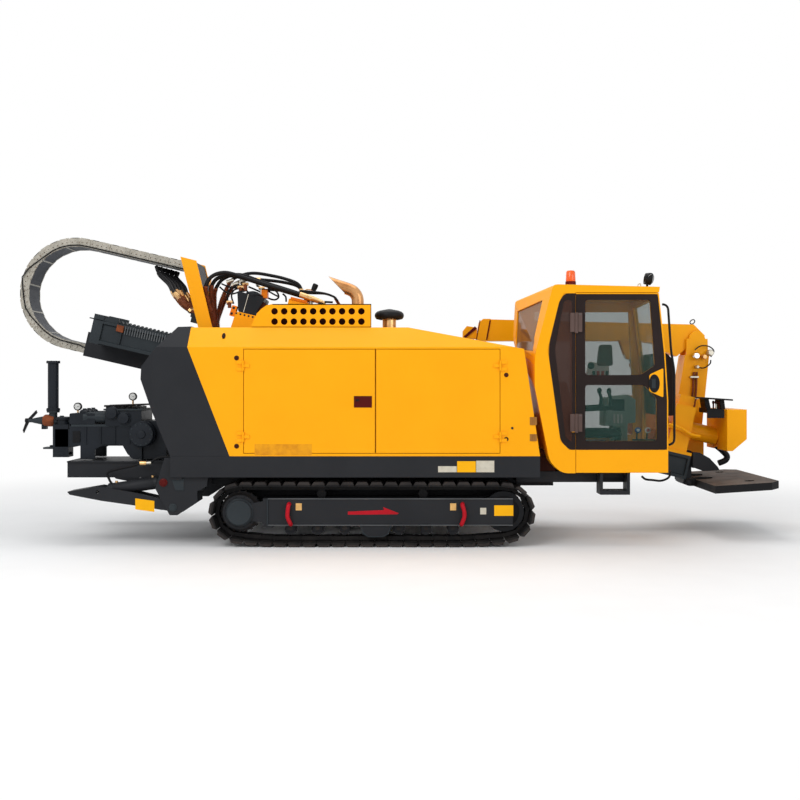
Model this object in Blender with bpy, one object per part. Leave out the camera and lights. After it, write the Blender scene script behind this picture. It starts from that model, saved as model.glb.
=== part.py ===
"""A crawler-mounted horizontal directional drill, built as separate named parts.

Metres, +Z up, +X towards the drill's exit end, -Y towards the side with the cab.
The origin is on the ground below the middle of the machine.
"""

import math

import bmesh
import bpy
from mathutils import Matrix, Vector

# Clearances
FLATNESS = 1e-6
SEAT_GAP = 0.0003
PIN_GAP = 0.0004
MOVE_GAP = 0.006

# Tracks: the belt runs over four centres, given as (x, z)
SPROCKET = (-1.495, 0.364)
IDLER = (1.354, 0.364)
REAR_ROLLER = (-1.10, 0.332)
FRONT_ROLLER = (0.95, 0.332)
TRACK_OUTER_RADIUS = 0.332
GROUSER_HEIGHT = 0.030
SHOE_THICKNESS = 0.022
LINK_HEIGHT = 0.060
LINK_OVERLAP = 0.002
SHOE_COUNT = 48
SHOE_GAP_FLOOR = 0.004
SHOE_BELT = 0.010
BELT_STEPS = 12
SHOE_FILL = 0.93
TRACK_EDGE = 1.12
TRACK_WIDTH = 0.45
LINK_WIDTH = 0.16
TRACK_MIDDLE = TRACK_EDGE - TRACK_WIDTH / 2
SHOE_INNER_RADIUS = TRACK_OUTER_RADIUS - GROUSER_HEIGHT - SHOE_THICKNESS
LINK_OUTER_RADIUS = SHOE_INNER_RADIUS + LINK_OVERLAP
LINK_INNER_RADIUS = LINK_OUTER_RADIUS - LINK_HEIGHT

# Track frames
BEAM_REAR = -1.196
BEAM_FRONT = 1.442
BEAM_LOW = 0.225
BEAM_HIGH = 0.514
BEAM_FACE = TRACK_EDGE - 0.07
BEAM_DEPTH = 0.31
FORK_PLATE = 0.03
FORK_LENGTH = 0.36
ROLLER_RADIUS = 0.065
ROLLER_COUNT = 7
HUB_RADIUS = 0.14

# Chassis
DECK_REAR = -2.228
DECK_FRONT = 1.728
DECK_HALF_WIDTH = 1.10
DECK_TOP = 0.971
DECK_THICKNESS = 0.041
SKIRT_LOW = 0.745
SKIRT_THICKNESS = 0.04
SPINE_MIDDLE = 0.52
SPINE_WIDTH = 0.14
SPINE_LOW = 0.40
CROSS_STATIONS = (-0.86, 0.76)
CROSS_LENGTH = 0.28
CROSS_LOW = 0.28
CROSS_HIGH = 0.50
CAB_BEAM_LOW = 0.67
CAB_BEAM_FRONT = 2.76
CAB_BEAM_INSET = 0.25
REAR_BEAM = 0.12
EAR_BLOCK_REAR = 1.45
EAR_BLOCK_LOW = 0.60
SHELF_REAR = -3.41
SHELF_TOP = 0.90
SHELF_LOW = 0.72

# Stabilizers, as (x, z)
ARM_PIVOT = (-2.210, 0.417)
STAB_TOP_PIN = (-2.311, 0.685)
STAB_LOW_PIN = (-3.03, 0.580)
BRACKET_OUTER = BEAM_FACE
BRACKET_PLATE = 0.03
BRACKET_WIDTH = 0.30
ARM_SIDE_PLATE = 0.03
PIN_RADIUS = 0.028
STAB_BARREL_RADIUS = 0.062
STAB_ROD_RADIUS = 0.03
STAB_MIDDLE = BRACKET_OUTER - BRACKET_WIDTH / 2

# Hood, near side of the mast
HOOD_REAR = -2.045
HOOD_NEAR = -DECK_HALF_WIDTH
HOOD_FAR = -0.10
HOOD_WALL = 0.04
HOOD_TOP = 2.36
HOOD_SHOULDER = 2.14
HOOD_SHOULDER_DEPTH = 0.20
HOOD_SLOPE_START = 0.32
HOOD_FRONT_TOP = (1.557, 2.12)
HOOD_FRONT_LOW = (1.728, DECK_TOP)
HOOD_SEAM_LOW = -1.593
SEAM_REAR = -1.446
SEAM_MIDDLE = -0.032
SEAM_FRONT = 1.303
HOOD_DOOR_LOW = 1.00
HOOD_DOOR_HIGH = 2.12
HINGE_RADIUS = 0.013
HINGE_PIN_RADIUS = 0.006
HINGE_LENGTH = 0.11
GUARD_REAR = -1.40
GUARD_FRONT = -0.085
GUARD_TOP = 2.616
GUARD_PLANE = -0.885
GUARD_THICKNESS = 0.012
GUARD_COLUMNS = 10
GUARD_PITCH = 0.1052
GUARD_FIRST_HOLE = -1.138
GUARD_ROWS = (2.424, 2.536)
GUARD_HOLE_RADIUS = 0.037
EXHAUST_RADIUS = 0.0675
EXHAUST_WALL = 0.006

# Cab
CAB_NEAR = -DECK_HALF_WIDTH
CAB_FAR = -0.04
CAB_FLOOR = 0.79
CAB_WALL = 0.05
CAB_DOOR_WALL = 0.10
DOOR_THICKNESS = 0.044
DOOR_REBATE = 0.05
DOOR_REAR = 2.113
DOOR_TOP = 2.718
BAND_THICKNESS = 0.009
GLASS_THICKNESS = 0.006
GLASS_LOW = 1.040

# Mast: local u runs along it towards the front, w square to it
MAST_PIVOT = (1.72, 0.92)
MAST_SLOPE = 13.0
MAST_PIN_RADIUS = 0.045
BEAM_START = -5.35
BEAM_END = 1.92
BEAM_W_LOW = 0.125
BEAM_W_HIGH = 0.405
BEAM_NEAR = 0.10
BEAM_FAR = 0.60
RAIL_WIDTH = 0.08
RACK_PITCH = 0.050
RACK_START = -5.20
RACK_END = 0.85
RACK_HEIGHT = 0.040
DRILL_Y = 0.35
DRILL_W = 0.705
WRENCH_COLLAR_RADIUS = 0.15
DRILL_BORE = 0.085
VISE_REAR = 1.60
GUIDE_RADIUS = 0.105
CARRIAGE_REAR = -4.30
CARRIAGE_FRONT = -2.40
SLEDGE_LOW = 0.455
SLEDGE_HIGH = 0.495
GEARBOX_REAR = -3.28
GEARBOX_FRONT = -2.56
GEARBOX_TOP = DRILL_W + 0.245
DRIVE_TOP = DRILL_W + 0.135
MOTOR_U = -3.575
POST_BAR_REAR = -4.22
POST_BAR_FRONT = -4.12
POST_BAR_TOP = 0.68
HEAD_HOSES = (
    (0.16, 0.024, ((-3.96, 0.58), (-3.98, 0.682), (-4.03, 0.793), (-4.097, 0.925), (-4.152, 1.059),
                   (-4.112, 1.203), (-3.96, 1.288), (-3.712, 1.277), (-3.386, 1.25), (-3.039, 1.235), (-2.76, 1.205))),
    (0.24, 0.024, ((-3.96, 0.58), (-3.983, 0.686), (-4.022, 0.801), (-4.066, 0.938), (-4.101, 1.091),
                   (-4.044, 1.215), (-3.885, 1.276), (-3.646, 1.27), (-3.296, 1.24), (-2.982, 1.22), (-2.74, 1.20))),
    (0.32, 0.022, ((-3.96, 0.58), (-3.975, 0.693), (-4.008, 0.809), (-4.041, 0.926), (-4.062, 1.07),
                   (-3.997, 1.222), (-3.82, 1.312), (-3.541, 1.29), (-3.213, 1.266), (-2.911, 1.235), (-2.73, 1.20))),
    (0.42, 0.020, ((-3.95, 0.58), (-3.982, 0.697), (-3.985, 0.821), (-3.976, 0.999), (-3.916, 1.225),
                   (-3.79, 1.33), (-3.651, 1.38), (-3.454, 1.395), (-3.291, 1.395), (-3.139, 1.375), (-3.07, 1.32), (-3.05, 1.24))),
    (0.50, 0.020, ((-3.94, 0.58), (-3.984, 0.701), (-3.976, 0.829), (-3.95, 0.986), (-3.874, 1.205),
                   (-3.718, 1.292), (-3.498, 1.335), (-3.291, 1.355), (-3.142, 1.35), (-3.071, 1.31), (-3.05, 1.24))),
)

# Drag chain
CHAIN_PITCH = 0.125
CHAIN_HEIGHT = 0.115
CHAIN_NEAR = 0.64
CHAIN_FAR = 1.05
CHAIN_SIDE = 0.03
CHAIN_LOW_W = 0.01
CHAIN_BEND_U = -5.80
CHAIN_RADIUS = 0.64
CHAIN_FIXED_END = -3.0
CHAIN_MOVING_END = -4.40
TRAY_START = -5.53
TRAY_END = -2.90
TRAY_THICKNESS = 0.03

# Mast cylinder, as (x, z)
MAST_CYL_BASE = (-0.789, 0.607)
MAST_CYL_EYE = (-0.556, 1.507)
MAST_BARREL_RADIUS = 0.075
MAST_ROD_RADIUS = 0.04

# Crane
CRANE_X = 3.80
CRANE_Y = 0.86
CRANE_BASE_LOW = 0.84
CRANE_BASE_TOP = 1.07
CRANE_COLUMN_WIDTH = 0.30
SLEW_PIN_RADIUS = 0.08
BOOM_PIN_RADIUS = 0.035
CRANE_BOOM_PIVOT = (3.93, 2.30)
BOOM_TIP_X = 1.03
BOOM_WIDTH = 0.20
LUFF_BASE = (3.56, 1.38)
LUFF_EYE = (3.10, 2.09)
LUFF_BARREL_RADIUS = 0.05
LUFF_ROD_RADIUS = 0.028

# Anchor plate
ANCHOR_HINGE_U = 1.98
ANCHOR_HINGE_W = 0.10
ANCHOR_NEAR = -0.65
ANCHOR_FAR = 1.05
ANCHOR_THICKNESS = 0.085
ANCHOR_REAR = 3.74
ANCHOR_FRONT = 4.49
ANCHOR_TOP = 0.606
ANCHOR_RISE = 3.7
ANCHOR_EYE_RADIUS = 0.045

COLORS = {
    "yellow": ((0.95, 0.42, 0.012), 0.35, 0.0),
    "dark_grey": ((0.035, 0.036, 0.040), 0.5, 0.1),
    "black": ((0.012, 0.012, 0.013), 0.5, 0.0),
    "track_steel": ((0.045, 0.040, 0.036), 0.6, 0.6),
    "bright_metal": ((0.62, 0.50, 0.36), 0.3, 1.0),
    "chrome": ((0.75, 0.75, 0.75), 0.12, 1.0),
    "chain": ((0.62, 0.61, 0.56), 0.5, 0.3),
    "glass": ((0.55, 0.66, 0.64), 0.05, 0.0),
    "tinted_glass": ((0.16, 0.09, 0.07), 0.08, 0.0),
    "seat_fabric": ((0.03, 0.03, 0.033), 0.85, 0.0),
    "pale_plastic": ((0.55, 0.65, 0.60), 0.5, 0.0),
    "amber": ((0.95, 0.25, 0.02), 0.25, 0.0),
    "rubber": ((0.015, 0.015, 0.016), 0.7, 0.0),
}


# Building blocks


def clear_scene():
    for item in list(bpy.data.objects):
        bpy.data.objects.remove(item, do_unlink=True)


def finish_of(name):
    color, roughness, metallic = COLORS[name]
    made = bpy.data.materials.new(name)
    made.use_nodes = True
    shader = made.node_tree.nodes["Principled BSDF"]
    shader.inputs["Base Color"].default_value = (*color, 1.0)
    shader.inputs["Roughness"].default_value = roughness
    shader.inputs["Metallic"].default_value = metallic
    return made


def closed_mesh(vertices, faces):
    made = bmesh.new()
    corners = [made.verts.new(point) for point in vertices]
    for face in faces:
        made.faces.new([corners[index] for index in face])
    bmesh.ops.recalc_face_normals(made, faces=made.faces)
    mesh = bpy.data.meshes.new("shape")
    made.to_mesh(mesh)
    made.free()
    return mesh


def flat_faces(vertices, corners):
    """A four-cornered face, split in two where its corners don't lie in one plane."""
    a, b, c, d = (vertices[index] for index in corners)
    normal = (b - a).cross(c - a)
    if normal.length > 0 and abs(normal.normalized().dot(d - a)) < FLATNESS:
        return [corners]
    return [(corners[0], corners[1], corners[2]), (corners[0], corners[2], corners[3])]


def loft(sections):
    """A closed solid through sections, each a ring of the same number of 3-D points."""
    count = len(sections[0])
    vertices = [Vector(point) for ring in sections for point in ring]
    faces = [list(range(count)), list(range(len(vertices) - count, len(vertices)))]
    for section in range(len(sections) - 1):
        for index in range(count):
            after = (index + 1) % count
            low = section * count
            high = low + count
            faces += flat_faces(vertices, (low + index, low + after, high + after, high + index))
    return closed_mesh(vertices, faces)


def prism(outline, low, high, along="Y"):
    """An outline pushed along an axis: Y takes (x, z), Z takes (x, y) and X takes (y, z)."""
    place = {
        "X": lambda a, b, t: (t, a, b),
        "Y": lambda a, b, t: (a, t, b),
        "Z": lambda a, b, t: (a, b, t),
    }[along]
    return loft([[place(a, b, t) for a, b in outline] for t in (low, high)])


def box(x, y, z):
    return prism([(x[0], y[0]), (x[1], y[0]), (x[1], y[1]), (x[0], y[1])], z[0], z[1], "Z")


def side_axes(direction):
    """Two unit vectors square to a direction, the same ones for opposite directions."""
    direction = Vector(direction).normalized()
    across = Vector((0, 1, 0)) if abs(direction.y) < 0.9 else Vector((0, 0, 1))
    first = (across - direction * across.dot(direction)).normalized()
    return first, direction.cross(first)


def circle(center, direction, radius, sides, phase=0.5):
    """Corners on a circle; a phase of 0 sets them half a side off the usual ones."""
    first, second = side_axes(direction)
    ring = []
    for index in range(sides):
        angle = 2 * math.pi * (index + phase) / sides
        ring.append(Vector(center) + radius * (math.cos(angle) * first + math.sin(angle) * second))
    return ring


def cylinder(start, end, radius, sides=12, phase=0.5):
    direction = Vector(end) - Vector(start)
    return loft([circle(point, direction, radius, sides, phase) for point in (start, end)])


def bore_cut(start, end, radius, sides=12, phase=0.0):
    """The cut for a round bar of this radius, its flats facing the bar's corners at rest."""
    corner_radius = (radius + PIN_GAP) / math.cos(math.pi / sides)
    return cylinder(start, end, corner_radius, sides, phase)


def turned(profile, start, direction, sides=20):
    """A turned solid: the profile lists (distance along the direction, radius)."""
    direction = Vector(direction).normalized()
    rings = [
        circle(Vector(start) + direction * along, direction, max(radius, 0.0005), sides)
        for along, radius in profile
    ]
    return loft(rings)


def pipe(points, radius, sides=10):
    """A round bar through points, its bends mitred."""
    points = [Vector(point) for point in points]
    steps = [(b - a).normalized() for a, b in zip(points, points[1:])]
    first, _ = side_axes(steps[0])
    rings = []
    for index, point in enumerate(points):
        before = steps[max(index - 1, 0)]
        after = steps[min(index, len(steps) - 1)]
        middle = (before + after).normalized()
        first = (first - middle * first.dot(middle)).normalized()
        second = middle.cross(first)
        ring = []
        for side in range(sides):
            angle = 2 * math.pi * (side + 0.5) / sides
            ring.append(point + radius * (math.cos(angle) * first + math.sin(angle) * second))
        rings.append(ring)
    return loft(rings)


def rounded_path(corners, radius, steps=5):
    """The points of a path whose inner corners are rounded."""
    corners = [Vector(corner) for corner in corners]
    path = [corners[0]]
    for before, corner, after in zip(corners, corners[1:], corners[2:]):
        back = (before - corner).normalized()
        ahead = (after - corner).normalized()
        for index in range(steps + 1):
            t = index / steps
            path.append(corner + back * radius * (1 - t) ** 2 + ahead * radius * t**2)
    path.append(corners[-1])
    return path


def arc(center, radius, start, end, steps):
    """Points on an arc, its angles in degrees."""
    points = []
    for index in range(steps + 1):
        angle = math.radians(start + (end - start) * index / steps)
        points.append((center[0] + radius * math.cos(angle), center[1] + radius * math.sin(angle)))
    return points


def inset(outline, distance):
    """A convex outline with every edge moved inwards, or outwards by a negative distance."""
    area = sum(a[0] * b[1] - b[0] * a[1] for a, b in zip(outline, outline[1:] + outline[:1]))
    turn = 1 if area > 0 else -1
    lines = []
    for a, b in zip(outline, outline[1:] + outline[:1]):
        along = Vector((b[0] - a[0], b[1] - a[1])).normalized()
        inward = Vector((-along.y, along.x)) * turn
        lines.append((Vector(a) + inward * distance, along))
    moved = []
    for (p, d), (q, e) in zip(lines[-1:] + lines[:-1], lines):
        cross = d.x * e.y - d.y * e.x
        t = ((q.x - p.x) * e.y - (q.y - p.y) * e.x) / cross
        moved.append((p.x + d.x * t, p.y + d.y * t))
    return moved


def operand(mesh, holder):
    item = bpy.data.objects.new("operand", mesh)
    bpy.context.scene.collection.objects.link(item)
    holder.objects.link(item)
    return item


def combined(adds, cuts=(), keep=()):
    """One mesh: the union of adds, less the cuts, within each of keep."""
    base = bpy.data.objects.new("base", adds[0])
    bpy.context.scene.collection.objects.link(base)
    stages = [("UNION", list(adds[1:])), ("DIFFERENCE", list(cuts))]
    stages += [("INTERSECT", [mesh]) for mesh in keep]
    operands = []
    holders = []
    for operation, meshes in stages:
        if not meshes:
            continue
        holder = bpy.data.collections.new(operation)
        holders.append(holder)
        operands += [operand(mesh, holder) for mesh in meshes]
        step = base.modifiers.new(operation, "BOOLEAN")
        step.operation = operation
        step.solver = "EXACT"
        step.operand_type = "COLLECTION"
        step.collection = holder
    view = bpy.context.evaluated_depsgraph_get()
    mesh = bpy.data.meshes.new_from_object(base.evaluated_get(view))
    for item in [base, *operands]:
        bpy.data.objects.remove(item, do_unlink=True)
    for holder in holders:
        bpy.data.collections.remove(holder)
    return mesh


def axis_empty(name, at, parent=None, turn=0.0):
    """An empty on a joint's axis, turned about Y by so many degrees."""
    item = bpy.data.objects.new(name, None)
    item.location = at
    item.rotation_euler = (0, math.radians(turn), 0)
    item.parent = parent
    bpy.context.scene.collection.objects.link(item)
    return item


def part(name, finish, adds, cuts=(), keep=(), parent=None, at=(0, 0, 0), smooth=35):
    """A named piece; its shapes are given in its parent's frame, and its origin lies at a point."""
    mesh = combined(adds, cuts, keep) if len(adds) > 1 or cuts or keep else adds[0]
    mesh.name = name
    mesh.transform(Matrix.Translation(-Vector(at)))
    mesh.materials.clear()
    mesh.materials.append(FINISHES[finish])
    if smooth:
        mesh.shade_smooth()
        mesh.set_sharp_from_angle(angle=math.radians(smooth))
    item = bpy.data.objects.new(name, mesh)
    item.location = at
    item.parent = parent
    bpy.context.scene.collection.objects.link(item)
    return item


def cross_pin(at, low, high, radius=PIN_RADIUS, sides=12):
    """A pin across the machine, at (x, z)."""
    return cylinder((at[0], low, at[1]), (at[0], high, at[1]), radius, sides)


def pin_bore(at, low, high, radius=PIN_RADIUS):
    """The bore that a cross pin of this radius turns in."""
    return bore_cut((at[0], low, at[1]), (at[0], high, at[1]), radius)


def along(start, end, distance):
    """The point of the X-Z plane at a distance from start towards end."""
    direction = (Vector(end) - Vector(start)).normalized()
    return tuple(Vector(start) + direction * distance)


# Tracks


def belt(radius, steps=8):
    """The belt's closed line at a radius from its four centres, clockwise seen from the near side."""
    centers = [SPROCKET, IDLER, FRONT_ROLLER, REAR_ROLLER]
    normals = []
    for a, b in zip(centers, centers[1:] + centers[:1]):
        direction = Vector((b[0] - a[0], b[1] - a[1])).normalized()
        normals.append(Vector((-direction.y, direction.x)))
    line = []
    for index, center in enumerate(centers):
        before = math.degrees(math.atan2(normals[index - 1].y, normals[index - 1].x))
        after = math.degrees(math.atan2(normals[index].y, normals[index].x))
        sweep = (before - after) % 360
        count = max(1, round(steps * sweep / 180))
        line += arc(center, radius, before, before - sweep, count)
    return line


def belt_stations(radius, count):
    """Evenly spaced places on the belt, each a point with its outward and forward directions."""
    line = [Vector(point) for point in belt(radius, 48)]
    lengths = [0.0]
    for a, b in zip(line, line[1:] + line[:1]):
        lengths.append(lengths[-1] + (b - a).length)
    pitch = lengths[-1] / count
    stations = []
    for index in range(count):
        ends = []
        for offset in (-0.5, 0.5):
            target = (pitch * (index + offset)) % lengths[-1]
            place = max(i for i, length in enumerate(lengths[:-1]) if length <= target)
            a, b = line[place], line[(place + 1) % len(line)]
            ends.append(a + (b - a).normalized() * (target - lengths[place]))
        forward = (ends[1] - ends[0]).normalized()
        outward = Vector((-forward.y, forward.x))
        stations.append(((ends[0] + ends[1]) / 2, outward, forward))
    return stations, pitch


def shoe_points(center, outward, forward, pitch):
    """One track shoe in the loop's outline: a plate with a grouser along its leading edge."""
    half = pitch * SHOE_FILL / 2
    top = SHOE_THICKNESS + GROUSER_HEIGHT
    profile = [
        (-half, SHOE_GAP_FLOOR),
        (-half, SHOE_THICKNESS),
        (half * 0.30, SHOE_THICKNESS),
        (half * 0.45, top),
        (half * 0.80, top),
        (half, SHOE_GAP_FLOOR),
    ]
    return [tuple(center + forward * a + outward * b) for a, b in profile]


def track(side, name):
    """The closed belt: its shoes in the outline, its link band inside."""
    edge = side * TRACK_EDGE
    inner = side * (TRACK_EDGE - TRACK_WIDTH)
    link_low = side * TRACK_MIDDLE - LINK_WIDTH / 2
    link_high = side * TRACK_MIDDLE + LINK_WIDTH / 2
    stations, pitch = belt_stations(SHOE_INNER_RADIUS, SHOE_COUNT)
    outline = [point for station in stations for point in shoe_points(*station, pitch)]
    shoes = combined(
        [prism(outline, inner, edge)], [prism(belt(SHOE_INNER_RADIUS - SHOE_BELT, BELT_STEPS), inner - 1, edge + 1)]
    )
    band = combined(
        [prism(belt(LINK_OUTER_RADIUS, BELT_STEPS), link_low, link_high)],
        [prism(belt(LINK_INNER_RADIUS, BELT_STEPS), link_low - 1, link_high + 1)],
    )
    middle = ((SPROCKET[0] + IDLER[0]) / 2, side * TRACK_MIDDLE, SPROCKET[1])
    part(name, "track_steel", [shoes, band], at=middle)


def track_frame(side, name):
    """The side beam with its rollers, its idler in the fork and the sprocket at the rear."""
    face = side * BEAM_FACE
    back = side * (BEAM_FACE - BEAM_DEPTH)
    low, high = sorted((face, back))
    fork_rear = BEAM_FRONT - FORK_LENGTH
    sprocket_front = SPROCKET[0] + LINK_INNER_RADIUS + 0.03
    beam = box((sprocket_front, fork_rear), (low, high), (BEAM_LOW, BEAM_HIGH))
    plates = []
    for near, far in ((low, low + FORK_PLATE), (high - FORK_PLATE, high)):
        plates.append(box((fork_rear - 0.05, BEAM_FRONT), (near, far), (BEAM_LOW, BEAM_HIGH)))
        rear = [
            (sprocket_front + 0.05, BEAM_LOW + 0.02),
            (sprocket_front + 0.05, BEAM_HIGH - 0.02),
            (SPROCKET[0], SPROCKET[1] + 0.07),
            *arc(SPROCKET, 0.07, 90, 270, 6),
            (SPROCKET[0], SPROCKET[1] - 0.07),
        ]
        plates.append(prism(rear, near, far))
    wheel_radius = LINK_INNER_RADIUS * math.cos(math.pi / (2 * BELT_STEPS)) - SEAT_GAP
    middle = side * TRACK_MIDDLE
    idler = cylinder((IDLER[0], middle - 0.06, IDLER[1]), (IDLER[0], middle + 0.06, IDLER[1]), wheel_radius, 20)
    idler_axle = cross_pin(IDLER, low, high, 0.05)
    sprocket = cylinder(
        (SPROCKET[0], middle - 0.03, SPROCKET[1]), (SPROCKET[0], middle + 0.03, SPROCKET[1]), wheel_radius, 20
    )
    hub_reach = side * 0.035
    drive = cylinder((SPROCKET[0], back, SPROCKET[1]), (SPROCKET[0], face + hub_reach, SPROCKET[1]), HUB_RADIUS, 20)
    rollers = []
    roller_low = REAR_ROLLER[1] - LINK_INNER_RADIUS + SEAT_GAP * 2
    for index in range(ROLLER_COUNT):
        x = REAR_ROLLER[0] + (FRONT_ROLLER[0] - REAR_ROLLER[0]) * (index + 0.5) / ROLLER_COUNT
        z = roller_low + ROLLER_RADIUS
        rollers.append(cylinder((x, middle - 0.075, z), (x, middle + 0.075, z), ROLLER_RADIUS, 10))
    adds = [beam, *plates, idler, idler_axle, sprocket, drive, *rollers]
    part(name, "dark_grey", adds, at=(SPROCKET[0], side * TRACK_MIDDLE, SPROCKET[1]))


# Chassis


def chassis():
    """The deck with its skirts, the pump's shelf, the mast's ears and the stabilizers' brackets."""
    half = DECK_HALF_WIDTH
    deck_low = DECK_TOP - DECK_THICKNESS
    adds = [box((DECK_REAR, DECK_FRONT), (-half, half), (deck_low, DECK_TOP))]
    for side in (-1, 1):
        y = sorted((side * half, side * (half - SKIRT_THICKNESS)))
        adds.append(box((DECK_REAR, DECK_FRONT), y, (SKIRT_LOW, deck_low + 0.01)))
    adds.append(box((DECK_REAR + 0.01, DECK_REAR + REAR_BEAM), (-half + 0.02, half - 0.02), (SHELF_LOW, deck_low + 0.01)))
    adds += pump_shelf()
    mast_slot = box((1.50, 1.80), (DRILL_Y - 0.165, DRILL_Y + 0.165), (0.85, 1.1))
    cylinder_slot = box((-1.15, -0.20), (DRILL_Y - 0.18, DRILL_Y + 0.18), (0.90, 1.0))
    frame = combined(adds, [mast_slot, cylinder_slot])
    lugs = mast_ears() + stabilizer_bracket(-1) + stabilizer_bracket(1)
    part("chassis", "dark_grey", [frame, *lugs], at=(0, 0, DECK_TOP))


def underframe():
    """Two spines under the deck, the cross beams to the track frames and the cab's beam."""
    top = DECK_TOP - DECK_THICKNESS - SEAT_GAP
    rear = DECK_REAR + REAR_BEAM + SEAT_GAP
    inner = SPINE_MIDDLE - SPINE_WIDTH / 2
    outer = SPINE_MIDDLE + SPINE_WIDTH / 2
    cab_floor = CAB_FLOOR - SEAT_GAP
    adds = [
        box((rear, 1.60), (-outer, -inner), (SPINE_LOW, top)),
        box((rear, EAR_BLOCK_REAR - SEAT_GAP), (inner, outer), (SPINE_LOW, top)),
        box((1.55, 2.50), (-outer, -inner), (SPINE_LOW + 0.05, cab_floor)),
        box((EAR_BLOCK_REAR - 0.05, 2.10), (inner, outer), (SPINE_LOW + 0.05, EAR_BLOCK_LOW - SEAT_GAP)),
    ]
    reach = BEAM_FACE - BEAM_DEPTH - SEAT_GAP
    for x in CROSS_STATIONS:
        adds.append(box((x - CROSS_LENGTH / 2, x + CROSS_LENGTH / 2), (-reach, reach), (CROSS_LOW, CROSS_HIGH)))
    cab_beam = [
        (1.50, CAB_BEAM_LOW),
        (CAB_BEAM_FRONT - 0.07, CAB_BEAM_LOW),
        (CAB_BEAM_FRONT, cab_floor),
        (1.50, cab_floor),
    ]
    adds.append(prism(cab_beam, CAB_NEAR + CAB_BEAM_INSET, CAB_NEAR + CAB_BEAM_INSET + 0.55))
    part("underframe", "dark_grey", [*adds, *mast_cylinder_lugs()], at=(0, 0, SPINE_LOW))


def pump_shelf():
    plate = box((SHELF_REAR, DECK_REAR + 0.05), (-0.86, -0.14), (SHELF_TOP - 0.015, SHELF_TOP))
    beams = [box((SHELF_REAR, DECK_REAR + 0.05), (y, y + 0.08), (SHELF_LOW, SHELF_TOP - 0.005)) for y in (-0.84, -0.24)]
    return [plate, *beams]


def mast_ears():
    """Two ears on the deck's front edge with the mast's pivot pin between them."""
    outline = [
        (1.50, 0.74),
        (MAST_PIVOT[0] + 0.10, 0.74),
        *arc(MAST_PIVOT, 0.085, -20, 160, 8),
        (1.55, DECK_TOP - 0.02),
        (1.50, DECK_TOP - 0.02),
    ]
    ears = [prism(outline, y, y + 0.05) for y in (DRILL_Y - 0.22, DRILL_Y + 0.17)]
    block = box((EAR_BLOCK_REAR, 1.56), (DRILL_Y - 0.22, DRILL_Y + 0.22), (EAR_BLOCK_LOW, DECK_TOP - 0.03))
    return [*ears, block, cross_pin(MAST_PIVOT, DRILL_Y - 0.21, DRILL_Y + 0.21, MAST_PIN_RADIUS)]


def mast_cylinder_lugs():
    """Two lugs on the rear cross beam with the pin of the mast's cylinder between them."""
    front = CROSS_STATIONS[0] + CROSS_LENGTH / 2
    outline = [
        (MAST_CYL_BASE[0] - 0.16, 0.45),
        (front - 0.003, 0.45),
        *arc(MAST_CYL_BASE, 0.065, 0, 180, 8),
    ]
    lugs = [prism(outline, y, y + 0.03) for y in (DRILL_Y - 0.085, DRILL_Y + 0.055)]
    return [*lugs, cross_pin(MAST_CYL_BASE, DRILL_Y - 0.08, DRILL_Y + 0.08)]


def stabilizer_bracket(side):
    """Two plates at the rear corner that carry the arm's pin and the cylinder's pin."""
    outline = [
        (-2.30, DECK_TOP - 0.02),
        (-2.40, 0.62),
        (ARM_PIVOT[0] - 0.035, 0.335),
        (ARM_PIVOT[0] + 0.05, 0.335),
        (-1.947, 0.475),
        (-1.947, 0.591),
        (-1.846, 0.644),
        (-1.80, DECK_TOP - 0.02),
    ]
    outer = side * BRACKET_OUTER
    inner = side * (BRACKET_OUTER - BRACKET_WIDTH)
    low, high = sorted((outer, inner))
    plates = [prism(outline, low, low + BRACKET_PLATE), prism(outline, high - BRACKET_PLATE, high)]
    web = box((-1.95, -1.90), (low + 0.01, high - 0.01), (0.60, DECK_TOP - 0.02))
    pins = [cross_pin(at, low + 0.01, high - 0.01) for at in (ARM_PIVOT, STAB_TOP_PIN)]
    return [*plates, web, *pins]


# Cylinders


def cylinder_pair(names, base, eye, middle, barrel_radius, rod_radius, closed, eye_radius=0.05, sides=12):
    """A hydraulic cylinder in the X-Z plane: a hollow barrel on its base pin and a rod with its eye.

    closed is the pin distance with the rod in. Both pieces are returned in world coordinates.
    """
    width = barrel_radius * 0.62
    barrel_end = closed - 0.09
    rod_length = closed - 0.14

    def at(distance):
        x, z = along(base, eye, distance)
        return (x, middle, z)

    rest = (Vector(eye) - Vector(base)).length
    barrel_adds = [
        cylinder(at(0.085), at(barrel_end), barrel_radius, sides),
        cylinder(at(0.02), at(0.10), width, sides),
        cylinder(at(barrel_end - 0.03), at(barrel_end + 0.02), barrel_radius * 1.08, sides),
        cylinder((base[0], middle - width, base[1]), (base[0], middle + width, base[1]), eye_radius, 12),
    ]
    barrel_cuts = [
        cylinder(at(0.11), at(closed), rod_radius + PIN_GAP, sides),
        pin_bore(base, middle - 0.2, middle + 0.2),
    ]
    rod_adds = [
        cylinder(at(rest - rod_length), at(rest - 0.03), rod_radius, sides),
        cylinder((eye[0], middle - width, eye[1]), (eye[0], middle + width, eye[1]), eye_radius, 12),
    ]
    rod_cuts = [pin_bore(eye, middle - 0.2, middle + 0.2)]
    barrel_empty = axis_empty(names[0] + "_axis", (base[0], middle, base[1]))
    shift = -Vector(barrel_empty.location)
    for mesh in (*barrel_adds, *barrel_cuts, *rod_adds, *rod_cuts):
        mesh.transform(Matrix.Translation(shift))
    part(names[0], "yellow" if "luff" in names[0] else "dark_grey", barrel_adds, barrel_cuts, parent=barrel_empty)
    part(names[1], "chrome", rod_adds, rod_cuts, parent=barrel_empty, at=Vector(at(rest)) + shift)


# Stabilizers


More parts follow.
